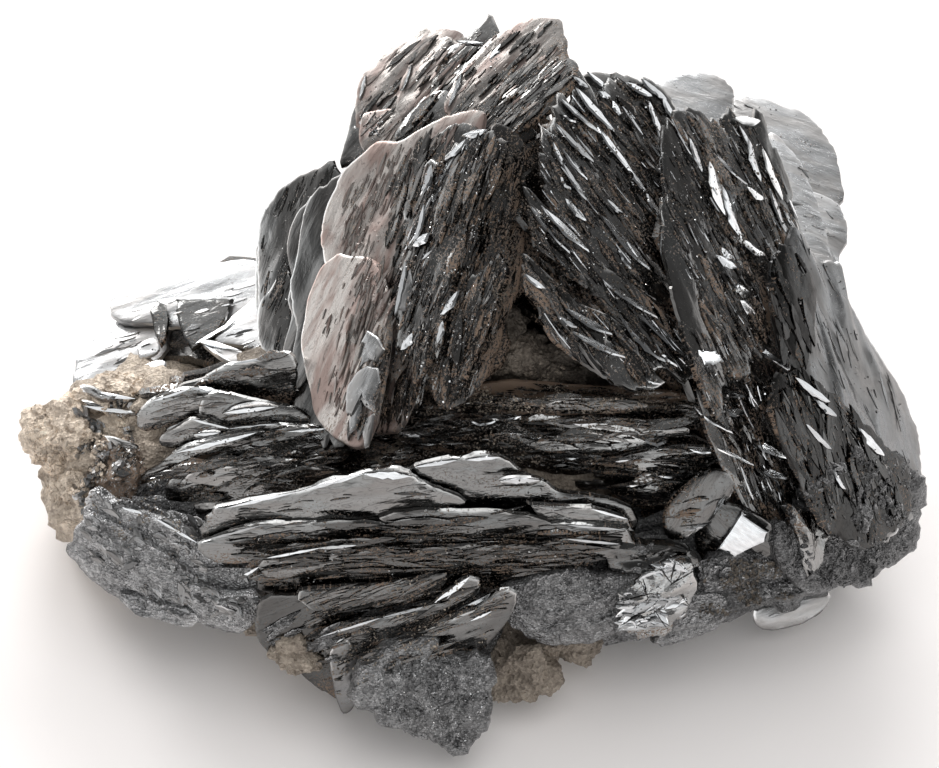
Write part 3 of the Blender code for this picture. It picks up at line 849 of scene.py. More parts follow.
TOP_PLATES = {
    "left edge": (-0.9, [(342, 167), (348, 135), (354, 112), (364, 100), (378, 120), (372, 155)]),
    "pink left lobe": (0.0, [(357, 102), (363, 78), (380, 58), (398, 43), (420, 31), (440, 30),
        (464, 34), (470, 60), (430, 120), (385, 145), (362, 142)], {"slot": FILMED}),
    "peak": (-0.6, [(462, 40), (475, 25), (490, 15), (495, 22), (500, 36), (490, 65), (462, 62)],
        {"tone": 0.6}),
    "second pink lobe": (0.8, [(400, 90), (412, 60), (430, 43), (445, 38), (462, 43), (480, 60),
        (470, 100), (430, 130), (396, 125)], {"slot": FILMED}),
    "third lobe": (1.4, [(446, 54), (456, 46), (480, 43), (500, 60), (480, 110), (445, 118),
        (430, 95)]),
    "sparkling foot": (1.3, [(360, 142), (362, 118), (375, 112), (395, 110), (405, 125), (395, 148),
        (370, 153)], {"slot": FILMED}),
    "big crest lobe": (2.2, [(446, 105), (452, 88), (462, 72), (480, 52), (495, 38), (510, 28),
        (528, 20), (556, 18), (563, 30), (568, 50), (572, 72), (550, 95), (510, 125), (475, 135),
        (450, 125)], {"slot": FILMED}),
    "dark front lobe": (1.9, [(395, 143), (400, 128), (412, 112), (425, 98), (445, 90), (457, 100),
        (450, 122), (420, 138)]),
    "lower crest rim": (3.0, [(480, 115), (500, 98), (520, 88), (536, 82), (546, 70), (560, 61),
        (574, 62), (578, 80), (560, 105), (530, 128), (490, 138)]),
}


def top_plates(gather):
    book = Book(gather, (-2.0, 23.0, -5.0), (-0.38, 0.42, 0.82), (0.66, 0.75, 0.0))
    book.core((-0.5, 20.0, -10.0), (8.0, 6.0, 7.5), ceiling=-0.6, seed=1)
    lay_plates(book, TOP_PLATES, tone=0.66)
    everywhere = [(357, 110), (380, 60), (450, 35), (555, 20), (572, 75), (530, 125), (370, 150)]
    book.shingle(everywhere, 90, length=(1.0, 4.0), width=(0.3, 0.9), tone=(0.5, 1.1), stain=0.3)
    book.strew(everywhere, 260, length=(0.5, 2.6), slot=FILMED)
    big_lobe = [(450, 115), (500, 70), (565, 60), (560, 110), (480, 135)]
    book.strew(big_lobe, 320, length=(0.6, 3.6), stain=0.5)
    edges = [((449, 108), (462, 74), 5), ((490, 60), (502, 44), 7), ((458, 42), (484, 44), 3),
        ((403, 92), (412, 66), 3), ((360, 100), (366, 76), 4)]
    book.glints(edges, lean=8.0, tone=0.75)
    sparkling_foot = [(358, 145), (362, 90), (385, 90), (395, 140)]
    # Specks of painted highlight make the foot sparkle.
    specks(gather, sparkling_foot, 200, size=(0.08, 0.3), slot=PAINTED_GLINT, tone=(0.2, 0.9))
    specks(gather, everywhere, 500)


LEFT_FLANK = {
    "back": (-1.0, [(256, 270), (262, 240), (290, 240), (296, 300), (262, 330)]),
    "upper": (0.0, [(258, 240), (263, 215), (278, 192), (300, 177), (318, 170), (336, 162),
        (345, 200), (320, 260), (290, 330), (266, 335), (258, 290)]),
    "lower": (0.7, [(260, 305), (272, 288), (284, 270), (294, 285), (294, 320), (283, 358),
        (264, 352), (258, 330)]),
}


def left_flank_plates(gather):
    book = Book(gather, (-15.0, 9.0, -6.0), (-0.42, 0.20, 0.88), (0.30, 0.95, 0.0))
    book.core((-12.0, 8.0, -12.0), (4.4, 7.5, 6.5), ceiling=-1.4, seed=2)
    # Tone 1.85 is a painted sheen that lightens these plates.
    lay_plates(book, LEFT_FLANK, tone=1.85, stain=-0.5)
    face = [(262, 220), (300, 180), (335, 165), (310, 260), (280, 350), (262, 340)]
    book.strew(face, 160, length=(0.6, 3.0))
    specks(gather, face, 120)


# The two outer plates get a strong painted highlight on their free rims.
OUTER_EDGE = {"stain": -0.8, "tone": 0.8, "gleam": 4.0}

LEFT_BOOK = {
    "outermost plate": (0.0, [(308, 201), (295, 218), (288, 242), (290, 262), (293, 280),
        (289, 300), (292, 318), (284, 350), (280, 390), (290, 422), (330, 435), (352, 300),
        (342, 220), (322, 198)], OUTER_EDGE),
    "second plate": (0.7, [(337, 179), (318, 190), (307, 208), (301, 235), (297, 262), (291, 282),
        (292, 300), (297, 330), (292, 370), (300, 425), (350, 440), (372, 300), (372, 200),
        (352, 173)], OUTER_EDGE),
    "pink main plate": (1.6, [(478, 111), (455, 114), (440, 120), (420, 130), (400, 141),
        (380, 141), (360, 157), (345, 171), (335, 190), (326, 210), (322, 232), (324, 255),
        (330, 290), (340, 400), (400, 430), (440, 300), (470, 180), (486, 122)], {"slot": FILMED,
        "ripple": 0.3, "jagged": 0.012, "tone": 1.35}),
    "pale lower plate": (2.3, [(352, 256), (340, 254), (325, 265), (317, 280), (309, 300),
        (305, 325), (302, 345), (306, 370), (312, 395), (315, 412), (322, 424), (340, 442),
        (370, 440), (392, 330), (382, 270), (366, 257)], {"slot": FILMED, "lean": 11.0,
        "tone": 1.25, "jagged": 0.01}),
    "inner rim": (2.0, [(470, 122), (455, 125), (440, 133), (425, 145), (408, 165), (400, 200),
        (420, 260), (460, 200), (482, 138)]),
    "ridge plate": (2.9, [(490, 129), (470, 136), (455, 146), (440, 158), (428, 166), (424, 185),
        (418, 205), (411, 230), (404, 255), (400, 285), (395, 312), (400, 345), (420, 385),
        (445, 330), (465, 230), (490, 160), (496, 134)], {"lean": 3.0, "jagged": 0.1}),
    "high arc": (3.5, [(505, 139), (492, 145), (478, 160), (465, 185), (450, 215), (445, 250),
        (455, 280), (476, 240), (494, 190), (508, 150)], {"lean": -6.0, "jagged": 0.1}),
    "ridge fan": (3.6, [(505, 252), (490, 262), (475, 275), (462, 287), (450, 295), (440, 310),
        (436, 330), (438, 355), (445, 385), (465, 382), (486, 330), (506, 280)], {"lean": -6.0,
        "jagged": 0.12}),
}


# Pale overlapping scales at the foot, over everything else; their paleness is the
# satin metal's painted sheen
PALE_SCALES = {
    "top": (None, [(356, 362), (360, 345), (368, 330), (378, 338), (384, 350), (377, 363),
        (368, 360), (360, 368)]),
    "broad": (None, [(346, 398), (348, 385), (357, 372), (366, 366), (378, 368), (381, 385),
        (374, 400), (376, 414), (366, 408), (360, 398), (352, 414), (347, 412)]),
    "left tooth": (None, [(350, 434), (349, 420), (354, 408), (362, 400), (362, 415), (356, 430)]),
    "right tooth": (None, [(365, 449), (362, 430), (366, 418), (375, 412), (373, 430), (369, 447)]),
    "small": (None, [(384, 368), (388, 350), (396, 338), (398, 356), (392, 372)]),
    "high": (None, [(398, 310), (401, 288), (410, 268), (414, 290), (406, 312)]),
}


STEEP = (0.30, 0.95, 0.0)           # the grain of the blades on both sides of the valley

VALLEY_SIDE = {
    "top": (-0.6, [(492, 128), (512, 128), (526, 150), (526, 205), (512, 245), (496, 225),
        (486, 170)]),
    "middle": (-0.3, [(470, 195), (492, 185), (514, 205), (524, 245), (514, 300), (494, 330),
        (470, 310), (462, 250)]),
    "bottom": (-0.6, [(440, 300), (468, 290), (492, 300), (502, 330), (488, 372), (466, 402),
        (436, 405), (430, 350)]),
}


def left_book(gather):
    book = Book(gather, (-8.0, 8.0, 0.0), (-0.50, 0.24, 0.83), (0.43, 0.90, 0.0))
    lay_plates(book, LEFT_BOOK)
    valley = Book(gather, (1.5, 11.0, 5.4), (0.22, 0.14, 0.96), STEEP)
    book.core((-4.0, 8.0, -4.5), (8.0, 11.0, 9.0), ceiling=-0.4, seed=3)
    valley.core((1.4, 11.5, -1.0), (3.6, 10.5, 6.0), ceiling=-1.0, seed=4, stain=0.9, tone=0.35)
    book.core((-4.6, 0.5, -1.0), (6.0, 5.0, 4.5), ceiling=-0.4, seed=5)
    valley.core((-0.4, 3.4, 2.6), (3.2, 4.0, 3.6), ceiling=-1.0, seed=25, stain=1.2, tone=0.4)
    lay_plates(valley, VALLEY_SIDE, stain=0.8, tone=0.7, gleam=0.8)
    pink = [(340, 200), (400, 150), (460, 125), (430, 230), (400, 330), (375, 330), (345, 245)]
    pale = [(325, 290), (380, 275), (395, 330), (350, 420), (318, 395)]
    inner = [(405, 270), (430, 170), (490, 135), (510, 150), (512, 250), (490, 340), (470, 400),
        (400, 430)]
    foot = [(385, 350), (470, 330), (462, 410), (400, 436), (352, 440), (352, 400)]
    book.strew(pink, 620, length=(0.4, 2.4), width=(0.08, 0.4), slot=FILMED, grain=STEEP)
    book.strew(pale, 160, length=(0.4, 2.0), width=(0.08, 0.3), slot=FILMED, grain=(0.2, 0.98, 0.0))
    pink_rim = [(385, 170), (430, 135), (440, 150), (430, 250), (405, 330), (384, 330), (392, 240)]
    book.shingle(pink_rim, 60, grain=(0.25, 0.96, 0.0), lean=(2.0, 14.0), tone=(0.4, 1.2),
        stain=0.5)
    pale_side = [(354, 280), (395, 265), (402, 430), (352, 440), (344, 360)]
    book.shingle(pale_side, 90, slot=FILMED, length=(1.2, 4.5), width=(0.25, 0.8),
        grain=(0.12, 0.99, 0.0), lean=(4.0, 16.0), tone=(0.35, 1.5), stain=0.3)
    ridge = [(403, 300), (410, 230), (428, 175), (465, 140), (484, 148), (445, 200), (428, 250),
        (412, 320)]
    # Flakes of painted highlight along the ridge's pale band.
    book.strew(ridge, 110, length=(0.6, 2.4), width=(0.12, 0.5), lean=(14.0, 22.0), swing=14.0,
        slot=PAINTED_GLINT, tone=(0.35, 1.0), steepest=ANY_SLOPE, wide_slack=2.0, stain=0.0, grain=STEEP)
    book.shingle(inner, 170, grain=STEEP, lean=(-4.0, 12.0), tone=(0.5, 1.5))
    book.strew(inner, 1100, **FINE, follow=0.2, lean=(-8.0, 14.0), steepest=ANY_SLOPE, stain=0.6,
        grain=STEEP, tone=(0.4, 1.1))
    valley_side = [(470, 190), (515, 130), (526, 200), (516, 300), (470, 400), (440, 400)]
    valley.strew(valley_side, 500, **FINE, follow=0.5, steepest=ANY_SLOPE, stain=0.9,
        tone=(0.3, 0.9))
    book.shingle(foot, 70, grain=(0.12, 1.0, 0.0), lean=(-4.0, 12.0), tone=(0.5, 1.5))
    book.strew(foot, 600, **FINE, follow=0.2, lean=(-8.0, 10.0), steepest=ANY_SLOPE, stain=0.6,
        grain=(0.1, 1.0, 0.0), tone=(0.4, 1.1))
    edges = [((424, 194), (432, 166), 8), ((415, 243), (425, 206), 6), ((414, 246), (431, 233), 9),
        ((463, 136), (487, 130), 7), ((446, 160), (468, 140), 6), ((396, 316), (407, 262), 5),
        ((402, 350), (413, 334), 9), ((441, 316), (460, 291), 8), ((438, 343), (443, 322), 6)]
    book.glints(edges, lean=15.0)
    lay_plates(book, PALE_SCALES, lean=10.0, thickness=0.22, slot=SATIN_PAINTED_SHEEN, jagged=0.05, ripple=0.12,
        tone=0.85, gleam=0.8, angular=True)
    specks(gather, pink, 500, slot=FILMED)
    specks(gather, inner, 900)
    specks(gather, inner, 260, **PAINTED_GLINT_CHIPS)
    valley_floor = [(500, 130), (520, 130), (520, 300), (470, 420), (440, 430), (490, 300)]
    specks(gather, valley_floor, 900, **BROWN_GRAINS)
    specks(gather, foot, 300)


THIN = {"thickness": 0.4}
TOOTH = {"slot": MIRROR, "tone": 0.5, "dome": 0.05, "angular": True}

REAR_LEFT = {
    "outer lobe": (-0.8, [(76, 388), (75, 360), (82, 345), (95, 333), (112, 322), (130, 314),
        (165, 318), (168, 350), (148, 368), (118, 376), (100, 384)]),
    "broad lobe": (0.0, [(108, 310), (112, 298), (122, 288), (145, 281), (163, 277), (172, 267),
        (190, 262), (215, 264), (240, 261), (258, 263), (262, 285), (258, 312), (235, 322),
        (200, 332), (160, 327), (122, 324)], {"tone": 1.25}),
    "left tooth": (0.9, [(150, 312), (158, 302), (166, 305), (170, 320), (166, 340), (161, 347),
        (155, 335)], TOOTH),
    "right teeth": (0.8, [(176, 312), (178, 300), (232, 300), (226, 320), (215, 336), (200, 346),
        (192, 352), (184, 340)], TOOTH),
    "low sliver": (1.2, [(138, 346), (155, 338), (160, 352), (142, 360)], THIN),
    "left foot": (1.5, [(136, 374), (150, 363), (166, 361), (162, 373), (145, 380)], THIN),
    "right foot": (1.3, [(200, 342), (216, 342), (243, 352), (247, 361), (232, 366), (214, 356)],
        THIN),
    "right lobe": (0.6, [(215, 342), (230, 320), (245, 308), (260, 300), (264, 342), (255, 352),
        (238, 347)]),
}


def rear_left_rosette(gather):
    book = Book(gather, (-23.0, 6.0, -14.0), (-0.18, 0.58, 0.80), (0.95, 0.30, 0.0))
    book.core((-20.0, 4.2, -18.0), (8.8, 6.0, 6.0), ceiling=-0.7, seed=6)
    # The lobes' brightness is painted sheen: the pale satin metal, raised further by tone 1.6.
    lay_plates(book, REAR_LEFT, slot=SATIN_PAINTED_SHEEN, tone=1.6, gleam=0.4, ripple=0.08, dome=0.15)
    low = [(110, 330), (240, 320), (262, 350), (200, 380), (130, 382), (100, 360)]
    broad_lobe = [(115, 300), (250, 270), (255, 315), (135, 325)]
    book.strew(broad_lobe, 24, length=(0.8, 2.4), width=(0.2, 0.7), stain=0.0, slot=SATIN_PAINTED_SHEEN,
        tone=(1.5, 1.9), gleam=0.4)
    book.strew(low, 90, length=(0.5, 2.4), lean=(-20.0, 10.0), follow=0.5, steepest=ANY_SLOPE,
        slot=SATIN_PAINTED_SHEEN)
    edges = [((200, 343), (240, 351), 3), ((205, 346), (232, 363), 3), ((172, 362), (197, 378), 3),
        ((133, 378), (155, 350), 3), ((195, 345), (235, 322), 5)]
    book.glints(edges, lean=6.0)
    specks(gather, low, 120)


LEFT_BLADES = {
    "uppermost": (-1.2, [(178, 386), (200, 378), (222, 366), (240, 361), (268, 357), (288, 350),
        (298, 370), (290, 402), (240, 402), (205, 397)]),
    "left lens": (0.0, [(138, 414), (150, 400), (165, 392), (185, 387), (200, 386), (212, 388),
        (222, 396), (208, 408), (190, 420), (160, 428), (140, 430)], {"tone": 1.2}),
    "dark lens": (0.4, [(205, 395), (220, 390), (240, 394), (262, 399), (302, 410), (312, 430),
        (270, 442), (220, 432), (200, 416)], {"tone": 0.8}),
    "pale lens": (0.9, [(222, 413), (235, 406), (250, 402), (262, 402), (278, 406), (265, 411),
        (245, 413), (228, 416)], {"thickness": 0.4, "lean": -8.0, "tone": 1.4}),
    "middle lens": (1.0, [(158, 437), (178, 424), (190, 417), (205, 419), (220, 424), (234, 430),
        (226, 442), (190, 447), (165, 447)]),
    "small lens": (1.5, [(193, 434), (205, 430), (221, 431), (215, 438), (200, 439)],
        {"thickness": 0.4, "tone": 1.3}),
    "right lens": (1.2, [(222, 432), (240, 427), (260, 422), (290, 423), (322, 426), (332, 440),
        (280, 452), (230, 447)]),
    "long pale rim": (1.9, [(140, 476), (160, 462), (180, 447), (205, 438), (235, 432), (263, 430),
        (252, 441), (225, 449), (200, 456), (175, 469), (150, 479)], {"lean": -4.0, "tone": 1.4}),
    "black lens": (1.6, [(225, 450), (255, 434), (278, 428), (300, 424), (320, 427), (336, 434),
        (347, 456), (300, 472), (240, 472), (200, 464)], {"tone": 0.7}),
    "lower lens": (2.4, [(168, 482), (200, 461), (260, 455), (330, 465), (347, 482), (300, 497),
        (220, 507), (173, 502)], {"tone": 0.8}),
    "grey lens": (2.9, [(176, 491), (184, 478), (198, 466), (215, 463), (240, 464), (263, 462),
        (247, 473), (228, 485), (210, 493), (190, 495)], {"lean": -3.0, "tone": 1.2}),
    "grey foot": (3.3, [(187, 509), (198, 502), (215, 500), (231, 502), (220, 509), (200, 513)],
        {"tone": 1.2}),
    "thin blade": (0.9, [(105, 436), (118, 438), (140, 447), (128, 449), (112, 443)],
        {"thickness": 0.3, "tone": 1.3}),
    "foot blade": (2.0, [(119, 495), (135, 499), (152, 510), (140, 511), (125, 503)],
        {"thickness": 0.3, "tone": 1.2}),
}


def left_blades(gather):
    book = Book(gather, (-20.0, -3.0, 0.0), (-0.12, -0.42, 0.90), (0.96, 0.25, 0.0))
    book.core((-20.0, -4.5, -6.0), (8.5, 6.5, 5.5), ceiling=-1.6, seed=7)
    book.core((-14.0, -4.0, -3.0), (5.5, 5.0, 5.0), ceiling=-1.2, seed=8)
    lay_plates(book, LEFT_BLADES)
    region = [(100, 400), (200, 385), (290, 365), (335, 440), (340, 475), (220, 510), (120, 500)]
    behind = [(110, 350), (250, 335), (300, 345), (290, 372), (200, 384), (110, 392)]
    book.shingle(behind, 50, length=(1.5, 4.0), tone=(0.4, 1.0))
    front = [(120, 440), (330, 440), (330, 480), (210, 505), (130, 500)]
    book.shingle(front, 60, length=(1.5, 5.0))
    book.strew(region, 700, length=(0.5, 3.4), width=(0.08, 0.4), stain=0.5, steepest=ANY_SLOPE,
        tone=(0.4, 1.1))
    edges = [((152, 401), (190, 388), 3), ((190, 387), (222, 393), 4), ((224, 365), (275, 356), 3),
        ((167, 429), (190, 418), 3), ((190, 418), (230, 428), 3), ((230, 428), (278, 423), 3),
        ((288, 431), (326, 428), 3), ((177, 452), (256, 432), 5), ((147, 468), (178, 452), 4),
        ((225, 412), (276, 406), 5), ((194, 434), (220, 432), 4)]
    book.glints(edges, lean=8.0)
    specks(gather, region, 500)
    specks(gather, region, 900, slot=ROCK, tone=(0.25, 0.75))


FRONT_BOOK = {
    "back right plate": (-0.6, [(408, 468), (425, 460), (445, 455), (462, 457), (480, 452),
        (502, 455), (522, 470), (545, 478), (562, 490), (600, 495), (632, 510), (625, 545),
        (560, 555), (500, 535), (450, 510), (425, 488)]),
    "main plate": (0.2, [(212, 509), (240, 500), (270, 495), (300, 489), (318, 482), (335, 476),
        (352, 474), (368, 469), (395, 466), (412, 471), (425, 482), (445, 490), (464, 500),
        (450, 518), (400, 528), (330, 533), (270, 538), (225, 548), (203, 532)], {"tone": 1.15}),
    "top chip": (0.1, [(498, 479), (515, 475), (542, 478), (530, 485), (508, 485)],
        {"thickness": 0.5, "lean": -6.0, "tone": 1.3}),
    "right step": (0.5, [(530, 503), (590, 504), (628, 517), (634, 529), (600, 533), (545, 526)],
        {"angular": True}),
    "second right step": (1.0, [(520, 528), (565, 520), (628, 527), (632, 541), (590, 547),
        (535, 543)], {"angular": True}),
    "third right step": (1.5, [(510, 549), (565, 536), (622, 543), (617, 557), (560, 563)],
        {"tone": 0.8, "angular": True}),
    "left step": (1.0, [(195, 543), (215, 536), (240, 526), (262, 521), (330, 520), (382, 525),
        (350, 552), (280, 557), (230, 562), (205, 557)]),
    "centre step": (0.9, [(380, 516), (440, 508), (520, 512), (562, 530), (540, 552), (470, 556),
        (400, 550)], {"tone": 0.7}),
    "left sliver": (1.9, [(260, 559), (285, 552), (310, 546), (335, 543), (359, 543), (390, 548),
        (365, 562), (310, 572), (270, 578)], {"tone": 0.8}),
    "dark base": (2.0, [(250, 582), (300, 560), (380, 548), (460, 545), (540, 546), (600, 552),
        (560, 577), (500, 592), (440, 602), (360, 607), (300, 602)], {"stain": 0.4, "lean": -10.0,
        "tone": 0.45}),
}


def front_book(gather):
    book = Book(gather, (-4.0, -11.0, 6.0), (0.02, -0.52, 0.85), (1.0, 0.08, 0.0))
    book.core((-4.0, -12.5, 0.0), (15.0, 5.5, 5.5), ceiling=-0.6, seed=9, stain=1.6, tone=0.7)
    book.core((-5.0, -10.8, 3.0), (11.5, 3.5, 4.0), ceiling=-0.8, seed=24, tone=0.5)
    lay_plates(book, FRONT_BOOK)
    face = [(215, 515), (340, 495), (410, 485), (500, 470), (620, 520), (610, 550), (420, 560),
        (230, 550)]
    base = [(225, 560), (330, 540), (450, 525), (600, 550), (560, 585), (440, 603), (300, 603)]
    book.strew(face, 420, length=(0.5, 3.0), width=(0.06, 0.3), swing=5.0, tone=(0.3, 1.1))
    steps = [(225, 545), (400, 520), (600, 530), (590, 565), (440, 590), (280, 590)]
    book.shingle(steps, 110, length=(2.5, 8.0), width=(0.4, 1.0), tone=(0.2, 0.6), stain=0.5)
    book.strew(base, 900, length=(0.8, 4.0), width=(0.1, 0.4), follow=0.2, swing=4.0, stain=0.6,
        tone=(0.2, 0.7), steepest=ANY_SLOPE)
    edges = [((226, 507), (300, 490), 3), ((300, 490), (366, 472), 4), ((364, 473), (412, 475), 8),
        ((415, 466), (457, 459), 4), ((500, 480), (540, 479), 6), ((568, 484), (614, 485), 9),
        ((466, 459), (500, 456), 4), ((592, 508), (627, 518), 3), ((567, 524), (625, 529), 3),
        ((567, 538), (619, 543), 3), ((202, 540), (262, 524), 3), ((267, 557), (320, 547), 3),
        ((318, 547), (357, 544), 4)]
    book.glints(edges, lean=10.0)
    specks(gather, face, 300)
    specks(gather, base, 600)
    specks(gather, base, 900, **BROWN_GRAINS)


UPPER_RIGHT = {
    "crest": (-1.8, [(574, 80), (600, 74), (628, 78), (645, 100), (630, 145), (600, 135),
        (580, 108)]),
    "outer rim": (-1.2, [(612, 76), (640, 78), (660, 90), (674, 108), (680, 130), (684, 160),
        (680, 185), (660, 170), (640, 140), (620, 110)]),
    "second row": (-0.8, [(600, 80), (625, 83), (648, 100), (662, 140), (673, 180), (682, 230),
        (660, 230), (630, 180), (605, 130)]),
    "third row": (-0.4, [(572, 76), (588, 86), (603, 118), (615, 143), (632, 170), (646, 190),
        (662, 220), (672, 252), (650, 255), (620, 230), (590, 190), (570, 140)]),
    "fourth row": (-0.1, [(556, 90), (572, 112), (592, 160), (606, 185), (622, 215), (640, 245),
        (655, 280), (630, 275), (590, 240), (562, 190), (548, 140)]),
    "fifth row": (0.2, [(546, 130), (560, 160), (585, 198), (604, 218), (620, 240), (650, 270),
        (668, 300), (640, 300), (600, 270), (560, 230), (540, 190)]),
    "valley row": (0.4, [(524, 190), (545, 208), (570, 235), (590, 254), (620, 275), (650, 300),
        (680, 330), (650, 330), (600, 300), (560, 270), (530, 240)]),
    "lower row": (0.6, [(522, 255), (550, 280), (572, 300), (600, 312), (622, 320), (648, 342),
        (668, 366), (640, 372), (600, 352), (560, 325), (530, 300)]),
    "low right row": (0.2, [(598, 276), (625, 290), (655, 315), (680, 340), (702, 368), (690, 385),
        (665, 372), (640, 345), (612, 318), (595, 295)]),
    "cavity lip": (0.9, [(536, 300), (566, 312), (600, 330), (632, 352), (662, 380), (640, 390),
        (600, 378), (566, 352), (545, 330)]),
}


def upper_right_book(gather):
    book = Book(gather, (9.7, 9.9, 6.5), (0.34, 0.26, 0.90), (0.60, -0.80, 0.0))
    book.core((11.0, 13.0, -5.0), (8.0, 9.5, 9.5), ceiling=-1.6, seed=10)
    book.core((7.2, 11.5, -1.5), (3.8, 10.5, 7.0), ceiling=-1.2, seed=11, stain=1.0, tone=0.35)
    book.core((10.5, 7.0, 2.5), (5.0, 5.0, 5.5), ceiling=-1.2, seed=23, tone=0.4)
    lay_plates(book, UPPER_RIGHT, tone=1.15, jagged=0.09)
    whole = [(560, 80), (640, 80), (680, 140), (690, 230), (700, 365), (640, 388), (545, 325),
        (525, 200)]
    book.shingle(whole, 190, tone=(0.45, 1.35))
    hollow_side = [(520, 180), (560, 200), (580, 300), (660, 350), (700, 372), (690, 392),
        (600, 385), (540, 335), (518, 270)]
    book.shingle(hollow_side, 90, length=(1.5, 5.0), lean=(-22.0, 4.0), tone=(0.4, 1.2))
    outer_side = [(650, 90), (684, 120), (700, 230), (712, 370), (690, 380), (664, 260), (645, 150)]
    book.shingle(outer_side, 90, length=(2.0, 6.0), width=(0.5, 1.3), lean=(-6.0, 12.0),
        tone=(0.5, 1.4), stain=0.3)
    book.strew(whole, 800, **FINE, stain=0.4, swing=6.0, tone=(0.3, 0.9))
    edges = [((573, 78), (587, 88), 6), ((575, 90), (612, 132), 9), ((560, 100), (598, 133), 5),
        ((560, 112), (575, 123), 4), ((555, 125), (592, 162), 6), ((552, 143), (565, 170), 4),
        ((562, 165), (585, 200), 5), ((562, 150), (586, 180), 5), ((560, 178), (570, 190), 6),
        ((595, 125), (632, 175), 6), ((630, 172), (645, 193), 5), ((646, 195), (661, 220), 7),
        ((586, 73), (608, 90), 6), ((597, 92), (610, 98), 7), ((612, 102), (620, 117), 6),
        ((625, 84), (650, 97), 9), ((648, 103), (662, 140), 6), ((656, 130), (673, 180), 4),
        ((668, 143), (680, 165), 6), ((640, 80), (665, 100), 8), ((662, 98), (676, 125), 7),
        ((605, 200), (622, 215), 5), ((565, 200), (585, 222), 7), ((602, 218), (648, 270), 9),
        ((618, 250), (630, 270), 5), ((530, 208), (568, 253), 5), ((543, 210), (587, 252), 8),
        ((524, 275), (545, 290), 5), ((552, 283), (595, 313), 8), ((565, 310), (610, 335), 7),
        ((557, 317), (576, 328), 5), ((572, 333), (623, 358), 6), ((600, 280), (655, 318), 6),
        ((620, 320), (663, 362), 11), ((640, 318), (700, 366), 11), ((655, 345), (676, 367), 5),
        ((632, 372), (660, 385), 5)]
    book.glints(edges, lean=27.0)
    book.strew(whole, 110, length=(0.8, 3.4), width=(0.12, 0.42), lean=(22.0, 32.0), swing=6.0,
        **PAINTED_SPARKS)
    sprinkle(gather, whole, chips=1300, facets=260, grains=1600)


RIGHT_UPPER = {
    "square lobe row": (-1.5, [(728, 118), (757, 118), (775, 150), (790, 190), (800, 230),
        (815, 290), (800, 330), (770, 300), (745, 240), (722, 160)]),
    "dusty row": (-1.0, [(680, 120), (705, 118), (728, 135), (748, 165), (765, 200), (780, 245),
        (790, 290), (785, 330), (760, 310), (735, 250), (705, 190), (685, 150)], {"stain": 0.4}),
    "main row": (-0.5, [(675, 118), (700, 120), (716, 160), (735, 205), (742, 250), (760, 300),
        (770, 350), (745, 345), (715, 290), (690, 230), (672, 170)]),
    "inner row": (0.0, [(668, 125), (690, 150), (705, 200), (720, 240), (735, 290), (750, 340),
        (745, 380), (720, 360), (695, 310), (672, 250), (660, 180)]),
    "valley row": (0.4, [(664, 200), (685, 240), (700, 290), (716, 345), (724, 385), (715, 415),
        (700, 390), (680, 330), (664, 260)]),
}

RIGHT_LOWER = {
    "outer row": (-0.6, [(742, 290), (765, 330), (790, 380), (815, 430), (835, 480), (845, 530),
        (825, 560), (800, 520), (775, 450), (750, 380), (738, 330)]),
    "second row": (-0.2, [(715, 340), (740, 365), (765, 420), (790, 480), (815, 540), (820, 575),
        (795, 560), (770, 500), (745, 430), (718, 380)]),
    "third row": (0.2, [(700, 345), (715, 370), (735, 410), (760, 470), (785, 530), (800, 575),
        (780, 562), (756, 505), (724, 440), (700, 390)]),
    "inner row": (0.5, [(698, 395), (720, 430), (748, 480), (772, 530), (784, 568), (764, 548),
        (738, 500), (712, 450)]),
}


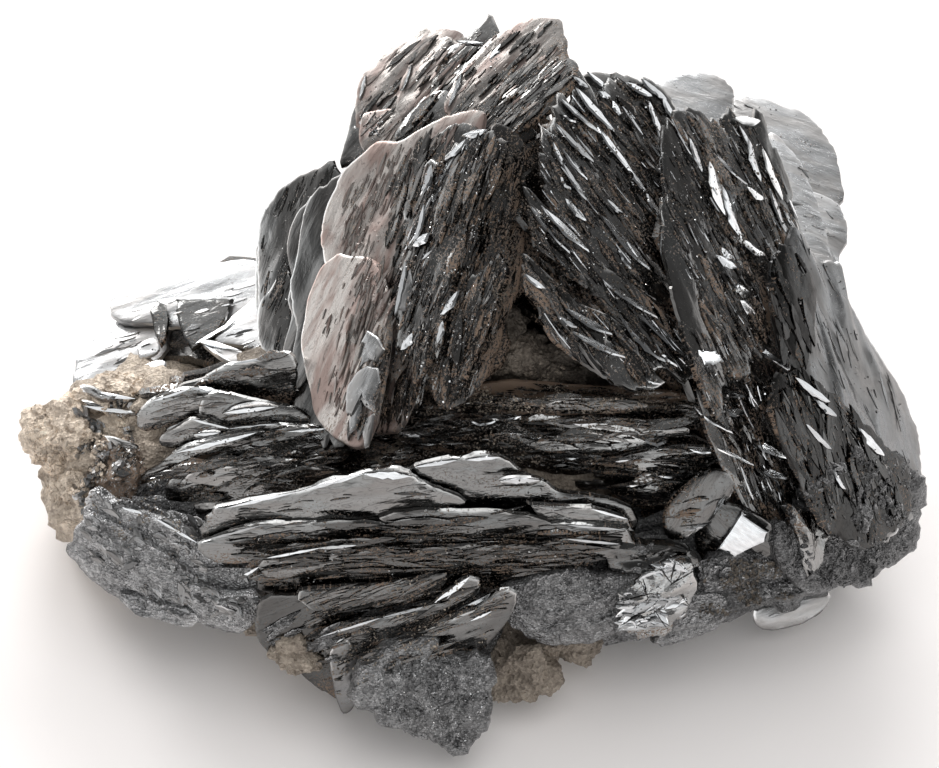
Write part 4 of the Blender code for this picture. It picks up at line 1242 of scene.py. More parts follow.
def right_book(gather):
    upper = Book(gather, (18.5, 9.9, 6.0), (0.45, 0.20, 0.87), (0.50, -0.86, 0.0))
    lay_plates(upper, RIGHT_UPPER, gleam=0.9, tone=1.0, jagged=0.10)
    lower = Book(gather, (22.1, -5.0, 3.0), (0.40, -0.02, 0.91), (0.45, -0.89, 0.0))
    upper.core((20.5, 3.0, -5.0), (7.5, 11.0, 9.0), ceiling=-1.9, seed=12)
    upper.core((17.0, 7.5, -1.5), (3.5, 10.0, 7.0), ceiling=-1.9, seed=13)
    lay_plates(lower, RIGHT_LOWER, gleam=0.8, jagged=0.10)
    high = [(672, 120), (750, 120), (790, 200), (800, 300), (760, 340), (715, 340), (670, 230)]
    low = [(700, 340), (760, 340), (830, 460), (840, 550), (800, 575), (760, 535), (714, 430)]
    upper.shingle(high, 130, width=(0.5, 1.4), lean=(-6.0, 8.0), tone=(0.5, 1.3))
    lower.shingle(low, 150, width=(0.5, 1.4), lean=(-6.0, 8.0), tone=(0.4, 1.2))
    upper.strew(high, 500, **FINE, stain=0.35, tone=(0.4, 1.1))
    lower.strew(low, 500, **FINE, stain=0.35, tone=(0.4, 1.1))
    upper_edges = [((706, 165), (722, 218), 15), ((720, 190), (738, 240), 12),
        ((745, 140), (758, 182), 10), ((745, 188), (762, 200), 9), ((738, 240), (762, 256), 9),
        ((718, 248), (732, 258), 9), ((714, 256), (734, 268), 10), ((730, 284), (750, 296), 11),
        ((736, 300), (752, 314), 11), ((760, 150), (780, 200), 8), ((703, 145), (745, 185), 4),
        ((730, 120), (757, 122), 10), ((768, 190), (784, 232), 6), ((688, 140), (700, 172), 6)]
    upper.glints(upper_edges, lean=30.0, tone=1.3)
    lower_edges = [((752, 322), (780, 384), 5), ((701, 345), (716, 366), 14),
        ((718, 378), (737, 402), 12), ((720, 405), (744, 416), 8), ((753, 426), (777, 466), 8),
        ((762, 460), (782, 484), 8), ((795, 378), (828, 402), 8), ((815, 400), (835, 416), 7),
        ((705, 425), (740, 475), 3), ((738, 490), (775, 545), 3), ((830, 480), (842, 497), 6),
        ((700, 398), (722, 440), 5)]
    lower.glints(lower_edges, facing=(0.08, 0.68, 0.73), tone=1.1)
    for book, region in ((upper, high), (lower, low)):
        book.strew(region, 70, length=(0.7, 3.0), width=(0.12, 0.42), lean=(24.0, 34.0), swing=7.0,
            **PAINTED_SPARKS)
        sprinkle(gather, region, chips=800, facets=160, grains=1000)


RIGHT_END = {
    "broad face": (0.0, [(790, 225), (815, 255), (838, 262), (842, 288), (860, 325), (880, 355),
        (900, 390), (912, 420), (918, 450), (920, 490), (905, 520), (880, 500), (850, 450),
        (820, 400), (795, 350), (780, 290)], {"ripple": 0.3}),
    # The dark fan is painted shade: a mirror plate darkened to tone 0.32 where it lies in shadow.
    "painted shade fan": (1.0, [(780, 245), (800, 262), (815, 290), (812, 330), (800, 365), (785, 345),
        (772, 300)], {"slot": MIRROR, "tone": 0.32, "gleam": 0.6, "jagged": 0.1}),
    "dark lower face": (1.5, [(785, 370), (830, 392), (880, 436), (908, 478), (904, 520),
        (862, 545), (822, 525), (790, 470), (772, 410)], {"slot": MIRROR, "tone": 0.26,
        "gleam": 0.5, "stain": 0.1, "jagged": 0.08}),
    "inner face": (0.5, [(775, 250), (800, 275), (825, 320), (850, 370), (872, 420), (890, 470),
        (895, 530), (870, 545), (845, 500), (810, 440), (785, 370), (770, 300)], {"ripple": 0.3}),
}

RIGHT_END_FOOT = {
    "outer lobe": (0.0, [(820, 470), (850, 460), (890, 455), (918, 470), (922, 500), (912, 545),
        (890, 562), (860, 550), (830, 520)], {"slot": GRAINY}),
    "middle lobe": (0.6, [(790, 500), (830, 500), (870, 530), (885, 560), (870, 580), (840, 588),
        (810, 575), (785, 545)], {"slot": GRAINY}),
    "inner lobe": (1.0, [(775, 520), (800, 540), (820, 575), (832, 590), (800, 590), (775, 560)],
        {"slot": GRAINY}),
    "pale triangle": (1.3, [(790, 505), (828, 525), (822, 560), (805, 575), (795, 545)],
        {"tone": 1.3}),
}


def right_end_plate(gather):
    book = Book(gather, (30.1, 1.1, 1.0), (0.55, 0.02, 0.83), (0.45, -0.89, 0.0))
    # The broad faces take the satin metal, whose pale colour is painted sheen.
    lay_plates(book, RIGHT_END, slot=SATIN_PAINTED_SHEEN, tone=0.66, dome=0.6)
    foot = Book(gather, (30.3, -10.5, 0.0), (0.45, -0.25, 0.85), (0.25, -0.97, 0.0))
    book.core((29.0, -6.0, -8.0), (4.5, 8.0, 7.5), ceiling=-0.8, seed=14)
    lay_plates(foot, RIGHT_END_FOOT, tone=0.65, **BROKEN)
    broad = [(800, 240), (838, 270), (900, 400), (915, 480), (880, 500), (800, 350)]
    rough = [(780, 510), (850, 450), (918, 470), (912, 545), (870, 580), (830, 590), (785, 570)]
    dark = [(785, 375), (830, 395), (905, 480), (900, 520), (820, 520), (780, 430)]
    book.strew(broad, 70, length=(0.6, 4.0), width=(0.06, 0.3), swing=8.0, slot=SATIN_PAINTED_SHEEN,
        tone=(0.5, 0.9))
    book.shingle(dark, 110, swing=9.0, tone=(0.2, 0.6), stain=0.2)
    # Dark shingles over the fan: painted shade.
    fan = [(745, 280), (800, 255), (812, 330), (800, 380), (780, 380), (750, 330)]
    book.shingle(fan, 40, swing=9.0, tone=(0.2, 0.5), stain=0.1)
    book.strew(dark, 160, length=(0.5, 2.2), width=(0.08, 0.3), swing=12.0, stain=0.2,
        tone=(0.2, 0.8))
    foot.strew(rough, 500, length=(0.4, 1.8), swing=50.0, lean=(-18.0, 14.0), pitch=9.0,
        slot=GRAINY, tone=(0.4, 0.9), **RUBBLE)
    edges = [((857, 428), (882, 455), 8), ((795, 378), (828, 402), 7), ((815, 400), (835, 416), 6),
        ((832, 470), (845, 490), 5), ((806, 425), (830, 450), 4)]
    book.glints(edges, lean=22.0)
    specks(gather, rough, 900, size=(0.10, 0.36), slot=GRAINY, tone=(0.4, 1.0))
    specks(gather, broad, 200)


SHELF = {"stain": 0.6, "jagged": 0.08, "thickness": 0.4, "gleam": 1.0}

MIDDLE_BOOK = {
    "cavity sill": (-1.2, [(440, 395), (470, 385), (520, 380), (580, 385), (640, 388), (690, 395),
        (700, 410), (640, 415), (560, 410), (480, 410)], {"stain": 2.2, "thickness": 0.4,
        "gleam": 0.4}),
    "first shelf": (-0.5, [(400, 415), (440, 405), (500, 398), (570, 402), (640, 405), (700, 405),
        (712, 425), (640, 435), (560, 430), (470, 428), (410, 430)], SHELF),
    "second shelf": (0.2, [(400, 432), (440, 422), (480, 418), (540, 418), (600, 422), (650, 430),
        (700, 435), (690, 450), (620, 455), (540, 452), (460, 450), (410, 446)], SHELF),
    "third shelf": (0.8, [(420, 450), (470, 440), (540, 440), (600, 445), (650, 450), (690, 465),
        (660, 480), (600, 478), (540, 470), (480, 465)], SHELF),
    "curved rim": (1.2, [(600, 480), (620, 470), (650, 462), (690, 458), (712, 462), (705, 490),
        (680, 505), (650, 500), (620, 495)], {"stain": 0.2}),
    "foot shelf": (1.0, [(596, 500), (640, 496), (700, 505), (705, 530), (680, 556), (640, 562),
        (600, 548)], {"stain": 1.2, "tone": 0.7, "jagged": 0.1}),
    "left lens": (1.1, [(402, 436), (428, 428), (470, 424), (520, 424), (500, 436), (450, 442)],
        {"thickness": 0.5, "lean": 5.0, "tone": 1.3}),
    "second lens": (1.5, [(455, 452), (500, 440), (560, 438), (612, 446), (580, 458), (510, 462)],
        {"thickness": 0.6, "lean": 4.0, "tone": 1.1}),
    "third lens": (1.3, [(560, 426), (610, 418), (668, 422), (690, 432), (640, 440), (590, 438)],
        {"thickness": 0.5, "lean": 5.0, "tone": 1.2}),
    "fourth lens": (1.9, [(598, 466), (640, 450), (690, 444), (722, 452), (700, 468), (645, 478)],
        {"thickness": 0.6, "lean": 4.0, "tone": 1.2}),
    "fifth lens": (2.2, [(612, 492), (650, 476), (694, 470), (716, 478), (694, 496), (650, 506)],
        {"thickness": 0.6, "lean": 2.0, "tone": 1.0}),
    "high lens": (0.9, [(505, 404), (560, 396), (620, 398), (650, 406), (600, 414), (545, 414)],
        {"thickness": 0.5, "lean": 3.0, "tone": 0.8, "stain": 0.8}),
}


OVAL_PLATE = {
    "oval plate": (0.0, [(735, 478), (728, 500), (712, 520), (690, 535), (672, 540), (663, 525),
        (668, 502), (690, 480), (715, 468)], {"gleam": 3.0, "tone": 0.7, "jagged": 0.02}),
}


def middle_book(gather):
    book = Book(gather, (6.2, -2.8, 2.0), (0.0, -0.50, 0.87), (1.0, 0.0, 0.0))
    book.core((8.5, -4.0, -5.5), (10.0, 6.0, 7.0), ceiling=-1.4, seed=15, stain=2.0)
    book.core((-3.5, -4.6, -0.5), (8.0, 3.2, 4.5), ceiling=-0.6, seed=16, stain=2.0)
    book.core((16.0, -10.5, -2.0), (6.0, 4.5, 5.0), ceiling=0.8, seed=17, stain=2.4, tone=1.0)
    lay_plates(book, MIDDLE_BOOK)
    oval = Book(gather, (18.0, -9.5, 4.2), (0.22, -0.32, 0.92), (-0.55, -0.83, 0.0))
    lay_plates(oval, OVAL_PLATE, stain=0.1)
    oval_rim = [((682, 534), (712, 518), 5), ((712, 518), (733, 482), 5)]
    oval.glints(oval_rim, facing=(0.2, 0.6, 0.77))
    shelves = [(405, 420), (450, 392), (560, 384), (700, 395), (715, 440), (690, 530), (600, 480),
        (420, 455)]
    book.shingle(shelves, 80, length=(2.0, 6.0), width=(0.3, 0.9), stain=0.9, tone=(0.5, 1.4))
    steps = [(400, 425), (480, 412), (690, 418), (712, 440), (690, 500), (620, 478), (420, 455)]
    book.shingle(steps, 75, length=(2.5, 7.5), width=(0.7, 1.6), lean=(4.0, 20.0), tone=(1.1, 2.4),
        stain=0.3, swing=8.0)
    book.strew(shelves, 700, **FINE, stain=0.6, swing=7.0, tone=(0.3, 1.0), steepest=ANY_SLOPE)
    edges = [((399, 432), (430, 431), 6), ((402, 440), (454, 440), 6), ((471, 421), (495, 419), 6),
        ((498, 416), (521, 415), 5), ((644, 440), (668, 436), 10), ((542, 455), (600, 455), 5),
        ((612, 490), (650, 476), 5), ((650, 476), (692, 471), 5), ((600, 465), (642, 451), 4),
        ((690, 446), (718, 452), 6), ((560, 424), (610, 419), 4), ((520, 436), (548, 434), 4),
        ((455, 448), (500, 441), 4)]
    book.glints(edges, facing=(0.0, 0.68, 0.73), tone=1.2)
    specks(gather, shelves, 700, stain=0.5)
    specks(gather, shelves, 1400, slot=ROCK, tone=(0.6, 1.4))
    sill = [(440, 385), (690, 385), (700, 412), (420, 415)]
    specks(gather, sill, 1200, slot=ROCK, tone=(1.0, 2.2))


LOWER_LEFT = {
    "wavy plate": (0.0, [(95, 490), (115, 500), (150, 515), (178, 520), (200, 545), (215, 556),
        (240, 577), (262, 565), (265, 590), (240, 615), (200, 610), (150, 600), (110, 570),
        (85, 530)], {"ripple": 0.4}),
    "front lobe": (0.8, [(70, 545), (78, 520), (100, 515), (140, 535), (180, 560), (210, 585),
        (240, 600), (238, 625), (200, 622), (150, 612), (110, 590), (80, 565)], {"ripple": 0.4}),
    "right chip": (1.3, [(190, 582), (225, 592), (255, 592), (262, 610), (240, 632), (205, 618),
        (185, 600)]),
    "foot": (1.5, [(120, 590), (160, 600), (200, 612), (190, 625), (150, 615), (125, 603)]),
}


def lower_left_mass(gather):
    book = Book(gather, (-24.6, -12.4, 1.0), (-0.25, -0.42, 0.87), (0.85, -0.52, 0.0), slot=GRAINY)
    book.core((-21.5, -11.8, -4.0), (7.0, 5.0, 5.5), ceiling=-0.8, seed=18, slot=GRAINY)
    lay_plates(book, LOWER_LEFT, tone=1.45, gleam=0.7, jagged=0.05, dome=0.5, ripple=0.8,
        thickness=1.0)
    region = [(75, 520), (100, 440), (165, 490), (260, 570), (262, 615), (200, 622), (110, 600)]
    book.strew(region, 420, length=(0.4, 2.0), width=(0.2, 0.8), swing=30.0, lean=(-12.0, 8.0),
        pitch=6.0, stain=0.3, steepest=ANY_SLOPE, tone=(0.4, 0.9), slot=SATIN_PAINTED_SHEEN)
    edges = [((105, 502), (150, 514), 3), ((200, 548), (240, 576), 4), ((152, 515), (198, 542), 3),
        ((190, 584), (255, 593), 3), ((240, 577), (260, 566), 3)]
    book.glints(edges, lean=14.0)
    specks(gather, region, 500, size=(0.06, 0.24), slot=SATIN_PAINTED_SHEEN, tone=(0.5, 1.8))
    upper_end = [(90, 440), (130, 445), (170, 495), (175, 520), (120, 510), (85, 480)]
    book.shingle(upper_end, 70, swing=40.0, length=(0.8, 2.8), width=(0.3, 1.0), lean=(-20.0, 20.0),
        stain=1.0)
    brown_seam = [(90, 430), (165, 480), (200, 540), (120, 540), (80, 500)]
    specks(gather, brown_seam, 500, slot=ROCK)


FRONT_TIP_BLADES = {
    "dark upper blade": (-0.8, [(300, 590), (340, 585), (400, 580), (450, 570), (440, 590),
        (390, 605), (330, 612), (305, 605)], {"slot": MIRROR, "tone": 0.6}),
    "long blade": (0.0, [(322, 638), (335, 628), (355, 620), (380, 616), (410, 610), (435, 600),
        (450, 588), (470, 574), (480, 580), (475, 600), (450, 625), (420, 650), (380, 665),
        (345, 662), (325, 652)], {"slot": MIRROR, "tone": 0.7}),
    "second blade": (0.8, [(400, 640), (430, 625), (455, 614), (480, 604), (500, 588), (515, 590),
        (510, 615), (480, 650), (440, 670), (405, 665)], {"slot": MIRROR, "tone": 0.7}),
    "left foot": (-1.2, [(262, 598), (330, 600), (348, 655), (342, 694), (322, 690), (290, 664),
        (258, 640)], {"slot": MIRROR, "stain": 0.2, "tone": 0.45, "gleam": 0.5}),
    "grey wedge": (0.5, [(330, 650), (340, 636), (352, 642), (360, 668), (358, 696), (348, 713),
        (338, 704), (332, 680)], {"slot": SATIN_PAINTED_SHEEN, "tone": 0.7}),
}

THICK = {"thickness": 2.4, "ripple": 0.5}

TONGUE = {
    "tongue": (0.0, [(372, 690), (380, 670), (400, 655), (440, 650), (475, 650), (492, 665),
        (492, 700), (482, 735), (460, 751), (445, 748), (430, 735), (400, 727), (378, 720)], THICK),
    "root": (-0.4, [(350, 704), (352, 672), (368, 650), (400, 638), (440, 638), (430, 730),
        (400, 726), (372, 712)], THICK),
}


def front_tip(gather):
    blades = Book(gather, (-4.4, -16.0, 6.8), (0.05, -0.52, 0.85), (0.88, 0.42, 0.0), slot=GRAINY)
    lay_plates(blades, FRONT_TIP_BLADES)
    tongue = Book(gather, (-2.2, -23.7, 5.0), (0.12, -0.20, 0.97), (0.30, -0.95, 0.0), slot=GRAINY)
    blades.core((-3.6, -18.0, 2.0), (6.5, 5.0, 4.0), ceiling=-1.0, seed=19)
    lay_plates(tongue, TONGUE, **BROKEN)
    upper = [(300, 595), (450, 570), (515, 590), (480, 650), (400, 665), (330, 700), (320, 640)]
    tip = [(370, 690), (400, 660), (490, 655), (490, 700), (460, 750), (400, 725)]
    blades.strew(upper, 700, length=(0.6, 3.6), width=(0.1, 0.5), stain=0.6, slot=MIRROR,
        tone=(0.3, 0.9), steepest=ANY_SLOPE)
    tongue.strew(tip, 260, length=(0.3, 1.4), width=(0.2, 0.6), swing=60.0, lean=(-14.0, 14.0),
        pitch=9.0, stain=0.1, steepest=ANY_SLOPE)
    edges = [((322, 635), (380, 617), 3), ((380, 617), (432, 604), 3), ((430, 606), (470, 575), 6),
        ((430, 625), (500, 588), 4), ((470, 620), (492, 610), 3)]
    blades.glints(edges, lean=14.0)
    specks(gather, tip, 1200, size=(0.06, 0.26), slot=GRAINY, tone=(0.6, 2.0))
    # Specks of painted highlight.
    specks(gather, tip, 300, size=(0.08, 0.2), slot=PAINTED_GLINT)
    specks(gather, upper, 700, slot=ROCK)
    left_foot = [(262, 598), (330, 605), (345, 650), (325, 690), (290, 668), (260, 640)]
    blades.shingle(left_foot, 60, length=(1.0, 4.0), width=(0.2, 0.7), stain=1.6, swing=14.0)


LOWER_RIGHT_LEFT = {
    "grainy plate": (0.0, [(500, 590), (520, 578), (560, 570), (600, 572), (640, 575), (650, 600),
        (620, 630), (580, 640), (540, 640), (510, 620)], {"ripple": 0.4}),
    "crackled plate": (0.7, [(618, 590), (640, 570), (670, 558), (692, 558), (697, 585), (685, 612),
        (660, 635), (635, 640), (618, 620)], {"slot": MIRROR, "tone": 1.6, "ripple": 0.4,
        "angular": True}),
    "under the front book": (-0.5, [(600, 540), (640, 540), (680, 545), (700, 560), (660, 575),
        (610, 570)], {"slot": MIRROR, "tone": 0.7}),
}

LOWER_RIGHT_RIGHT = {
    "brown shelf": (0.0, [(700, 560), (740, 550), (790, 555), (832, 575), (828, 588), (790, 598),
        (752, 606), (715, 622), (698, 600)], {"tone": 0.5}),
    "lower shelf": (0.5, [(650, 600), (700, 590), (730, 600), (715, 625), (690, 637), (655, 642)],
        {"stain": 0.5}),
}

# The white polygon is a painted highlight in the pale facet metal.
WHITE_POLYGON = {
    "dark socket": (-2.0, [(700, 510), (738, 505), (775, 525), (775, 550), (735, 570), (700, 560)],
        {"tone": 0.6}),
    "white polygon": (-0.9, [(742, 512), (768, 530), (765, 541), (735, 556), (717, 548)],
        {"thickness": 0.6, "slot": PAINTED_GLINT, "dome": 0.05, "ripple": 0.03, "jagged": 0.02,
        "gleam": 0.0, "angular": True}),
}


def lower_right_mass(gather):
    left = Book(gather, (9.9, -16.3, 4.5), (0.12, -0.48, 0.87), (1.0, 0.15, 0.0), slot=GRAINY)
    lay_plates(left, LOWER_RIGHT_LEFT, **BROKEN)
    right = Book(gather, (23.1, -15.8, 1.5), (0.2, -0.48, 0.85), (1.0, 0.10, 0.0), slot=GRAINY)
    lay_plates(right, LOWER_RIGHT_RIGHT, **BROKEN)
    polygon = Book(gather, (21.0, -11.5, 6.0), (-0.22, -0.36, 0.91), (0.80, -0.60, 0.0))
    left.core((14.0, -14.5, -2.5), (11.0, 5.5, 5.5), ceiling=-0.6, seed=20)
    lay_plates(polygon, WHITE_POLYGON)
    grainy = [(500, 590), (560, 565), (650, 545), (655, 600), (620, 640), (510, 640)]
    crackled = [(618, 590), (670, 556), (697, 560), (690, 612), (640, 640), (620, 625)]
    brown = [(700, 560), (830, 560), (830, 590), (752, 606), (700, 628)]
    left.strew(grainy, 260, length=(0.3, 1.8), swing=40.0, lean=(-14.0, 10.0), pitch=7.0, **RUBBLE)
    # Chips of painted highlight on the crackled plate.
    left.strew(crackled, 200, length=(0.6, 2.4), width=(0.2, 0.8), swing=25.0, slot=PAINTED_GLINT,
        tone=(0.35, 1.0), lean=(-14.0, 8.0))
    cracks = [((624, 600), (660, 590), 1), ((660, 590), (694, 570), 1), ((640, 580), (652, 606), 1),
        ((652, 606), (668, 630), 1), ((658, 566), (676, 588), 1), ((676, 588), (690, 606), 1),
        ((622, 624), (652, 606), 1), ((676, 560), (668, 588), 1)]
    left.glints(cracks, lean=4.0, tone=0.1, slot=MIRROR)
    right.strew(brown, 260, length=(0.3, 1.6), swing=40.0, lean=(-18.0, 14.0), pitch=9.0, stain=0.9,
        **RUBBLE)
    specks(gather, grainy, 700, size=(0.06, 0.24), slot=GRAINY, tone=(0.6, 1.8))
    specks(gather, crackled, 200, slot=PAINTED_GLINT, tone=(0.3, 0.9))
    specks(gather, brown, 900, size=(0.12, 0.4), **BROWN_GRAINS)


LOWER_RIGHT_PLATE = {
    "pale plate": (0.0, [(752, 608), (775, 602), (800, 595), (828, 592), (826, 603), (805, 620),
        (780, 628), (758, 626)], {"slot": SATIN_PAINTED_SHEEN, "tone": 1.3, "thickness": 1.4}),
    "under plate": (-1.2, [(760, 606), (790, 600), (822, 596), (818, 612), (790, 624), (765, 622)],
        {"thickness": 1.4}),
}


def lower_right_plate(gather):
    book = Book(gather, (25.6, -17.0, -4.0), (0.05, -0.25, 0.96), (0.95, 0.30, 0.0))
    lay_plates(book, LOWER_RIGHT_PLATE)
    lump(gather, (24.6, -13.8, -5.4), (5.8, 4.4, 4.4), GRAINY, grit=0.6, seed=70, stain=1.6)
    book.core((24.6, -14.2, -5.4), (5.0, 3.2, 4.0), ceiling=-0.8, seed=22, stain=1.6)
    face = [(758, 608), (828, 595), (800, 620), (765, 625)]
    book.strew(face, 8, length=(0.6, 2.0), slot=SATIN_PAINTED_SHEEN)


REAR_RIGHT = {
    "dusky lobe": (0.0, [(655, 85), (680, 72), (700, 73), (720, 80), (735, 97), (742, 125),
        (738, 180), (700, 200), (668, 185), (657, 125)], {"tone": 0.8}),
    "big lobe": (0.3, [(733, 100), (757, 98), (780, 106), (803, 114), (828, 140), (838, 165),
        (842, 205), (825, 215), (790, 190), (750, 150), (735, 125)]),
    "lower lobe": (0.8, [(800, 190), (838, 205), (847, 240), (838, 262), (842, 285), (825, 280),
        (800, 240), (785, 210)]),
    "front lobe": (1.2, [(750, 130), (790, 150), (815, 200), (830, 250), (835, 285), (800, 270),
        (770, 230), (745, 180)]),
}


def rear_right_rosette(gather):
    book = Book(gather, (23.4, 19.5, -13.0), (0.25, 0.55, 0.80), (0.9, -0.2, 0.0))
    book.core((20.5, 14.5, -17.2), (8.4, 7.8, 7.4), ceiling=-0.4, seed=21)
    # The lobes' paleness is painted sheen from the satin metal.
    lay_plates(book, REAR_RIGHT, slot=SATIN_PAINTED_SHEEN, tone=1.05, dome=0.25, ripple=0.08, gleam=0.5)
    face = [(660, 85), (720, 80), (800, 115), (840, 200), (840, 285), (790, 260), (730, 130)]
    book.strew(face, 24, length=(0.8, 2.4), width=(0.3, 0.8), swing=20.0, stain=0.0, slot=SATIN_PAINTED_SHEEN)
    specks(gather, face, 120)


# ---------------------------------------------------------------- the matrix
# Lumps of brown rock in world millimetres: centre, radii and how pale
MATRIX_LUMPS = (
    ((0.0, 2.5, 7.5), (26.0, 15.0, 12.0), 1.1),
    ((-26.0, -1.0, 7.5), (9.5, 9.0, 7.0), 1.9),
    ((20.0, 3.5, 8.0), (11.0, 11.0, 9.0), 1.0),
    ((-11.0, -9.5, 6.5), (8.0, 8.5, 6.0), 1.2),
    ((4.0, -10.0, 5.0), (8.5, 9.0, 5.5), 1.2),
)

# Crags in the display frame: centre, radii, how pale, and material
CRAGS = (
    ((-32.4, -4.2, -7.0), (3.4, 3.2, 5.5), 2.9, ROCK),
    ((-31.0, -9.0, -6.0), (2.8, 3.0, 5.0), 2.2, ROCK),
    ((-29.0, -1.2, -7.5), (3.0, 2.4, 4.5), 2.7, ROCK),
    ((-27.5, -6.5, -3.2), (2.6, 2.4, 3.0), 1.2, MIRROR),
    ((4.0, -21.8, 0.8), (3.0, 3.0, 2.4), 1.0, ROCK),
    ((7.4, -19.4, -1.4), (3.8, 2.0, 2.8), 1.0, ROCK),
    ((3.4, 2.2, -0.4), (3.4, 2.4, 2.6), 0.8, ROCK),
    ((2.0, 5.4, -0.2), (2.4, 3.0, 2.6), 0.4, ROCK),
    ((7.4, 0.9, -1.0), (4.0, 1.8, 2.6), 0.5, ROCK),
    ((-13.2, -20.2, 2.8), (2.4, 1.8, 2.2), 1.2, ROCK),
)

HEART = (0.0, 0.0, -12.0)           # the middle of the rock, in the display frame
MATRIX_GRIT = 0.9                   # mm of unevenness
MATRIX_SEED = 40                    # of the first lump and the first crag
CRAG_SEED = 60

CRAG_SLIVERS = {
    "right chip": (None, [(566, 485), (578, 479), (600, 480), (615, 485), (600, 490), (575, 489)],
        {"tone": 1.6}),
    "high": (None, [(80, 386), (92, 386), (105, 393), (120, 399), (105, 402), (92, 397)]),
    "low": (None, [(82, 400), (95, 402), (110, 407), (130, 410), (140, 413), (135, 419), (110, 415),
        (95, 408)]),
}


def matrix(gather):
    for index, (centre, radii, pale) in enumerate(MATRIX_LUMPS):
        middle = TO_WORLD.T @ (np.array(centre) - np.array(FACE_CENTRE))
        directions, faces = SPHERES[5]
        rock = hewn(directions, seed=MATRIX_SEED + index, planes=40, deepest=0.86)
        spread = directions * np.array(radii) * rock[:, None]
        lift = np.array([rough(place, index) for place in spread]) * MATRIX_GRIT
        turned = (spread + directions * lift[:, None]) @ TO_WORLD
        gather.add(turned + middle, faces, turned[:, :2], np.full(len(turned), 0.5), pale, ROCK)
    for index, (centre, radii, pale, slot) in enumerate(CRAGS):
        lump(gather, centre, radii, slot, detail=5, grit=0.7, seed=CRAG_SEED + index, stain=1.2,
            tone=pale)
    clad(gather, HEART, count=560, size=(0.8, 4.4), slot=MIRROR, stain=0.8, tone=(0.5, 1.2))
    clad(gather, HEART, count=420, size=(0.6, 2.6), slot=ROCK, tone=(0.6, 1.2))
    end = [(25, 430), (60, 395), (120, 390), (130, 440), (90, 530), (60, 520)]
    slivers = Book(gather, (-28.0, -1.0, -4.0), (-0.12, -0.42, 0.90), (0.96, 0.25, 0.0))
    lay_plates(slivers, CRAG_SLIVERS, thickness=0.4, tone=1.3)
    edges = [((84, 391), (134, 398), 5), ((84, 405), (134, 412), 5)]
    slivers.glints(edges, lean=8.0)
    seam = [(335, 428), (440, 436), (455, 462), (400, 472), (340, 476)]
    slivers.shingle(seam, 70, length=(1.5, 5.0), tone=(0.4, 1.1), stain=0.5)
    slivers.strew(seam, 260, length=(0.5, 2.6), width=(0.08, 0.4), stain=0.5, steepest=ANY_SLOPE,
        tone=(0.4, 1.1))
    near_blades = [(75, 400), (130, 395), (140, 440), (100, 530), (75, 500)]
    specks(gather, near_blades, 220, size=(0.3, 1.3), slot=SATIN_PAINTED_SHEEN, stain=0.6, tone=(0.4, 1.4))
    specks(gather, end, 900, size=(0.15, 0.7), slot=ROCK, wild=0.6, tone=(1.6, 3.0))
    hollow = [(480, 320), (570, 340), (560, 390), (440, 390)]
    specks(gather, hollow, 900, size=(0.12, 0.5), slot=ROCK, tone=(0.8, 1.8))


GROUPS = {
    "matrix": matrix,
    "top_plates": top_plates,
    "left_flank_plates": left_flank_plates,
    "left_book": left_book,
    "rear_left_rosette": rear_left_rosette,
    "left_blades": left_blades,
    "front_book": front_book,
    "upper_right_book": upper_right_book,
    "right_book": right_book,
    "right_end_plate": right_end_plate,
    "middle_book": middle_book,
    "lower_left_mass": lower_left_mass,
    "front_tip": front_tip,
    "lower_right_mass": lower_right_mass,
    "lower_right_plate": lower_right_plate,
    "rear_right_rosette": rear_right_rosette,
}

for name, grow in GROUPS.items():
    gather = Gather()
    grow(gather)
    piece = gather.make("look_" + name, MATERIALS)
    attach(piece, "root")
    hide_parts(name)


# ---------------------------------------------------------------- stage, light, camera
FLOOR_HALF = 1.2                    # metres
LAMP_AIM = Vector((0.0, 0.0, 0.02))
CLIP_START = 0.01
CLIP_END = 10.0


def make_floor():
    mesh = bpy.data.meshes.new("floor")
    corners = [(FLOOR_HALF * across, FLOOR_HALF * back, 0.0)
               for across, back in ((-1, -1), (1, -1), (1, 1), (-1, 1))]
    mesh.from_pydata(corners, [], [(0, 1, 2, 3)])
    floor = bpy.data.objects.new("floor", mesh)
    bpy.context.scene.collection.objects.link(floor)
    paper, _, shader = new_material("floor paper")
    shader.inputs["Base Color"].default_value = (0.90, 0.865, 0.85, 1.0)
    shader.inputs["Roughness"].default_value = 0.9
    shader.inputs["Emission Color"].default_value = (1.0, 1.0, 1.0, 1.0)
    shader.inputs["Emission Strength"].default_value = 0.06
    mesh.materials.append(paper)


# How much the sky shines: the way to the middle of a quarter, and (cosine of the angle
# from there, radiance) pairs
SKY_QUARTERS = (
    ((0.0, 0.0, 1.0), ((0.16, 1.20), (0.32, 0.80), (0.46, 0.34), (0.60, 0.17), (1.0, 0.12))),
    ((-0.05, 0.72, 0.69), ((0.62, 0.0), (0.78, 0.55), (0.90, 1.15), (1.0, 1.4))),
)


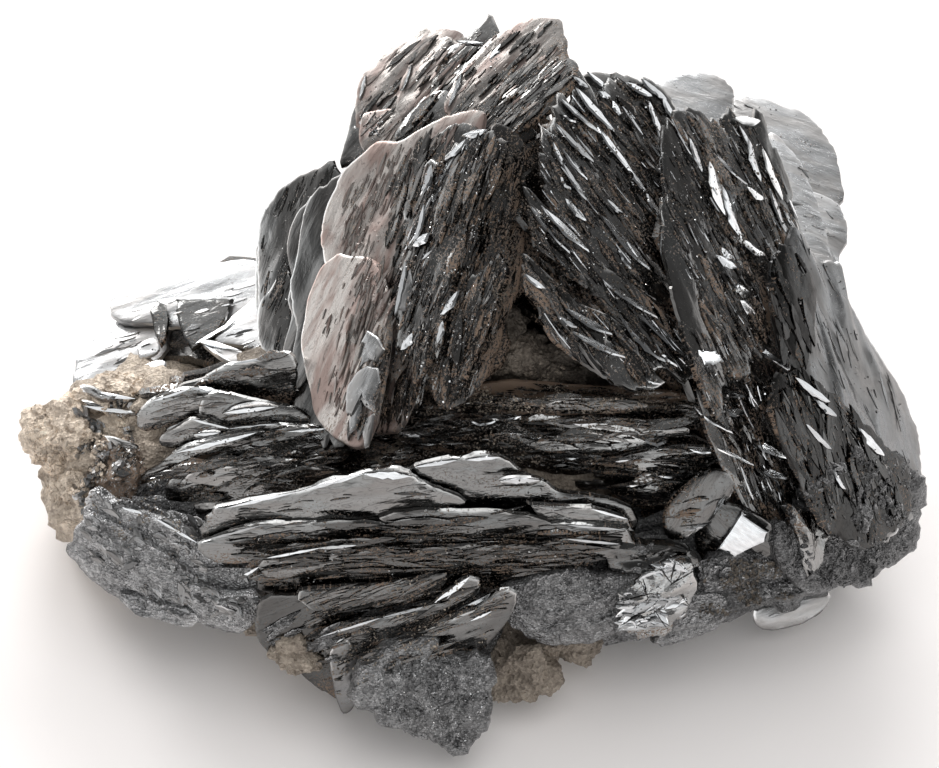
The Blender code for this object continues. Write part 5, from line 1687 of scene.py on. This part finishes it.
def make_sky():
    """A white studio, dark high in front where the camera and the room are."""
    sky = bpy.data.worlds.new("studio")
    bpy.context.scene.world = sky
    sky.use_nodes = True
    tree = sky.node_tree
    direction = node(tree, "ShaderNodeTexCoord").outputs["Generated"]
    total = None
    for way, levels in SKY_QUARTERS:
        aim = node(tree, "ShaderNodeVectorMath", operation="DOT_PRODUCT")
        tree.links.new(direction, aim.inputs[0])
        aim.inputs[1].default_value = Vector(way).normalized()
        ramp = node(tree, "ShaderNodeValToRGB")
        ramp.color_ramp.interpolation = "EASE"
        stops = ramp.color_ramp.elements
        stops.remove(stops[1])
        for index, (cosine, radiance) in enumerate(levels):
            stop = stops[0] if index == 0 else stops.new(cosine)
            stop.position = cosine
            stop.color = (radiance, radiance, radiance, 1.0)
        tree.links.new(aim.outputs["Value"], ramp.inputs["Fac"])
        value = ramp.outputs["Color"]
        total = value if total is None else blend_colour(tree, 1.0, total, value, "ADD")
    tree.links.new(total, tree.nodes["Background"].inputs["Color"])
    tree.nodes["Background"].inputs["Strength"].default_value = 1.0


def softbox(name, place, size, radiance, colour=(1.0, 1.0, 1.0), mirrored=True):
    """A rectangular lamp aimed at the specimen. One that isn't mirrored only lights it."""
    lamp = bpy.data.lights.new(name, "AREA")
    lamp.shape = "RECTANGLE"
    lamp.size, lamp.size_y = size
    lamp.energy = radiance * math.pi * size[0] * size[1]
    lamp.color = colour
    made = bpy.data.objects.new(name, lamp)
    made.location = place
    made.visible_glossy = mirrored
    made.rotation_euler = (LAMP_AIM - Vector(place)).to_track_quat("-Z", "Y").to_euler()
    bpy.context.scene.collection.objects.link(made)


def make_camera():
    lens = bpy.data.cameras.new("camera")
    lens.lens = CAMERA_LENS
    lens.sensor_width = CAMERA_SENSOR
    lens.clip_start = CLIP_START
    lens.clip_end = CLIP_END
    camera = bpy.data.objects.new("camera", lens)
    place = FACE_CENTRE + Vector(TO_WORLD @ CAMERA_SPOT)
    camera.location = place * MM
    camera.rotation_euler = (math.radians(90.0) - FACE_LEAN, 0.0, 0.0)
    bpy.context.scene.collection.objects.link(camera)
    bpy.context.scene.camera = camera


make_floor()
make_sky()
softbox("window", place=(-0.32, 0.40, 0.32), size=(0.18, 0.18), radiance=11.0,
        colour=(1.0, 0.99, 0.98))
softbox("back lamp", place=(0.04, 0.50, 0.34), size=(0.34, 0.18), radiance=8.0)
softbox("ceiling", place=(0.10, -0.12, 0.50), size=(0.50, 0.50), radiance=1.5, mirrored=False)
make_camera()
bpy.context.scene.view_settings.view_transform = "Standard"
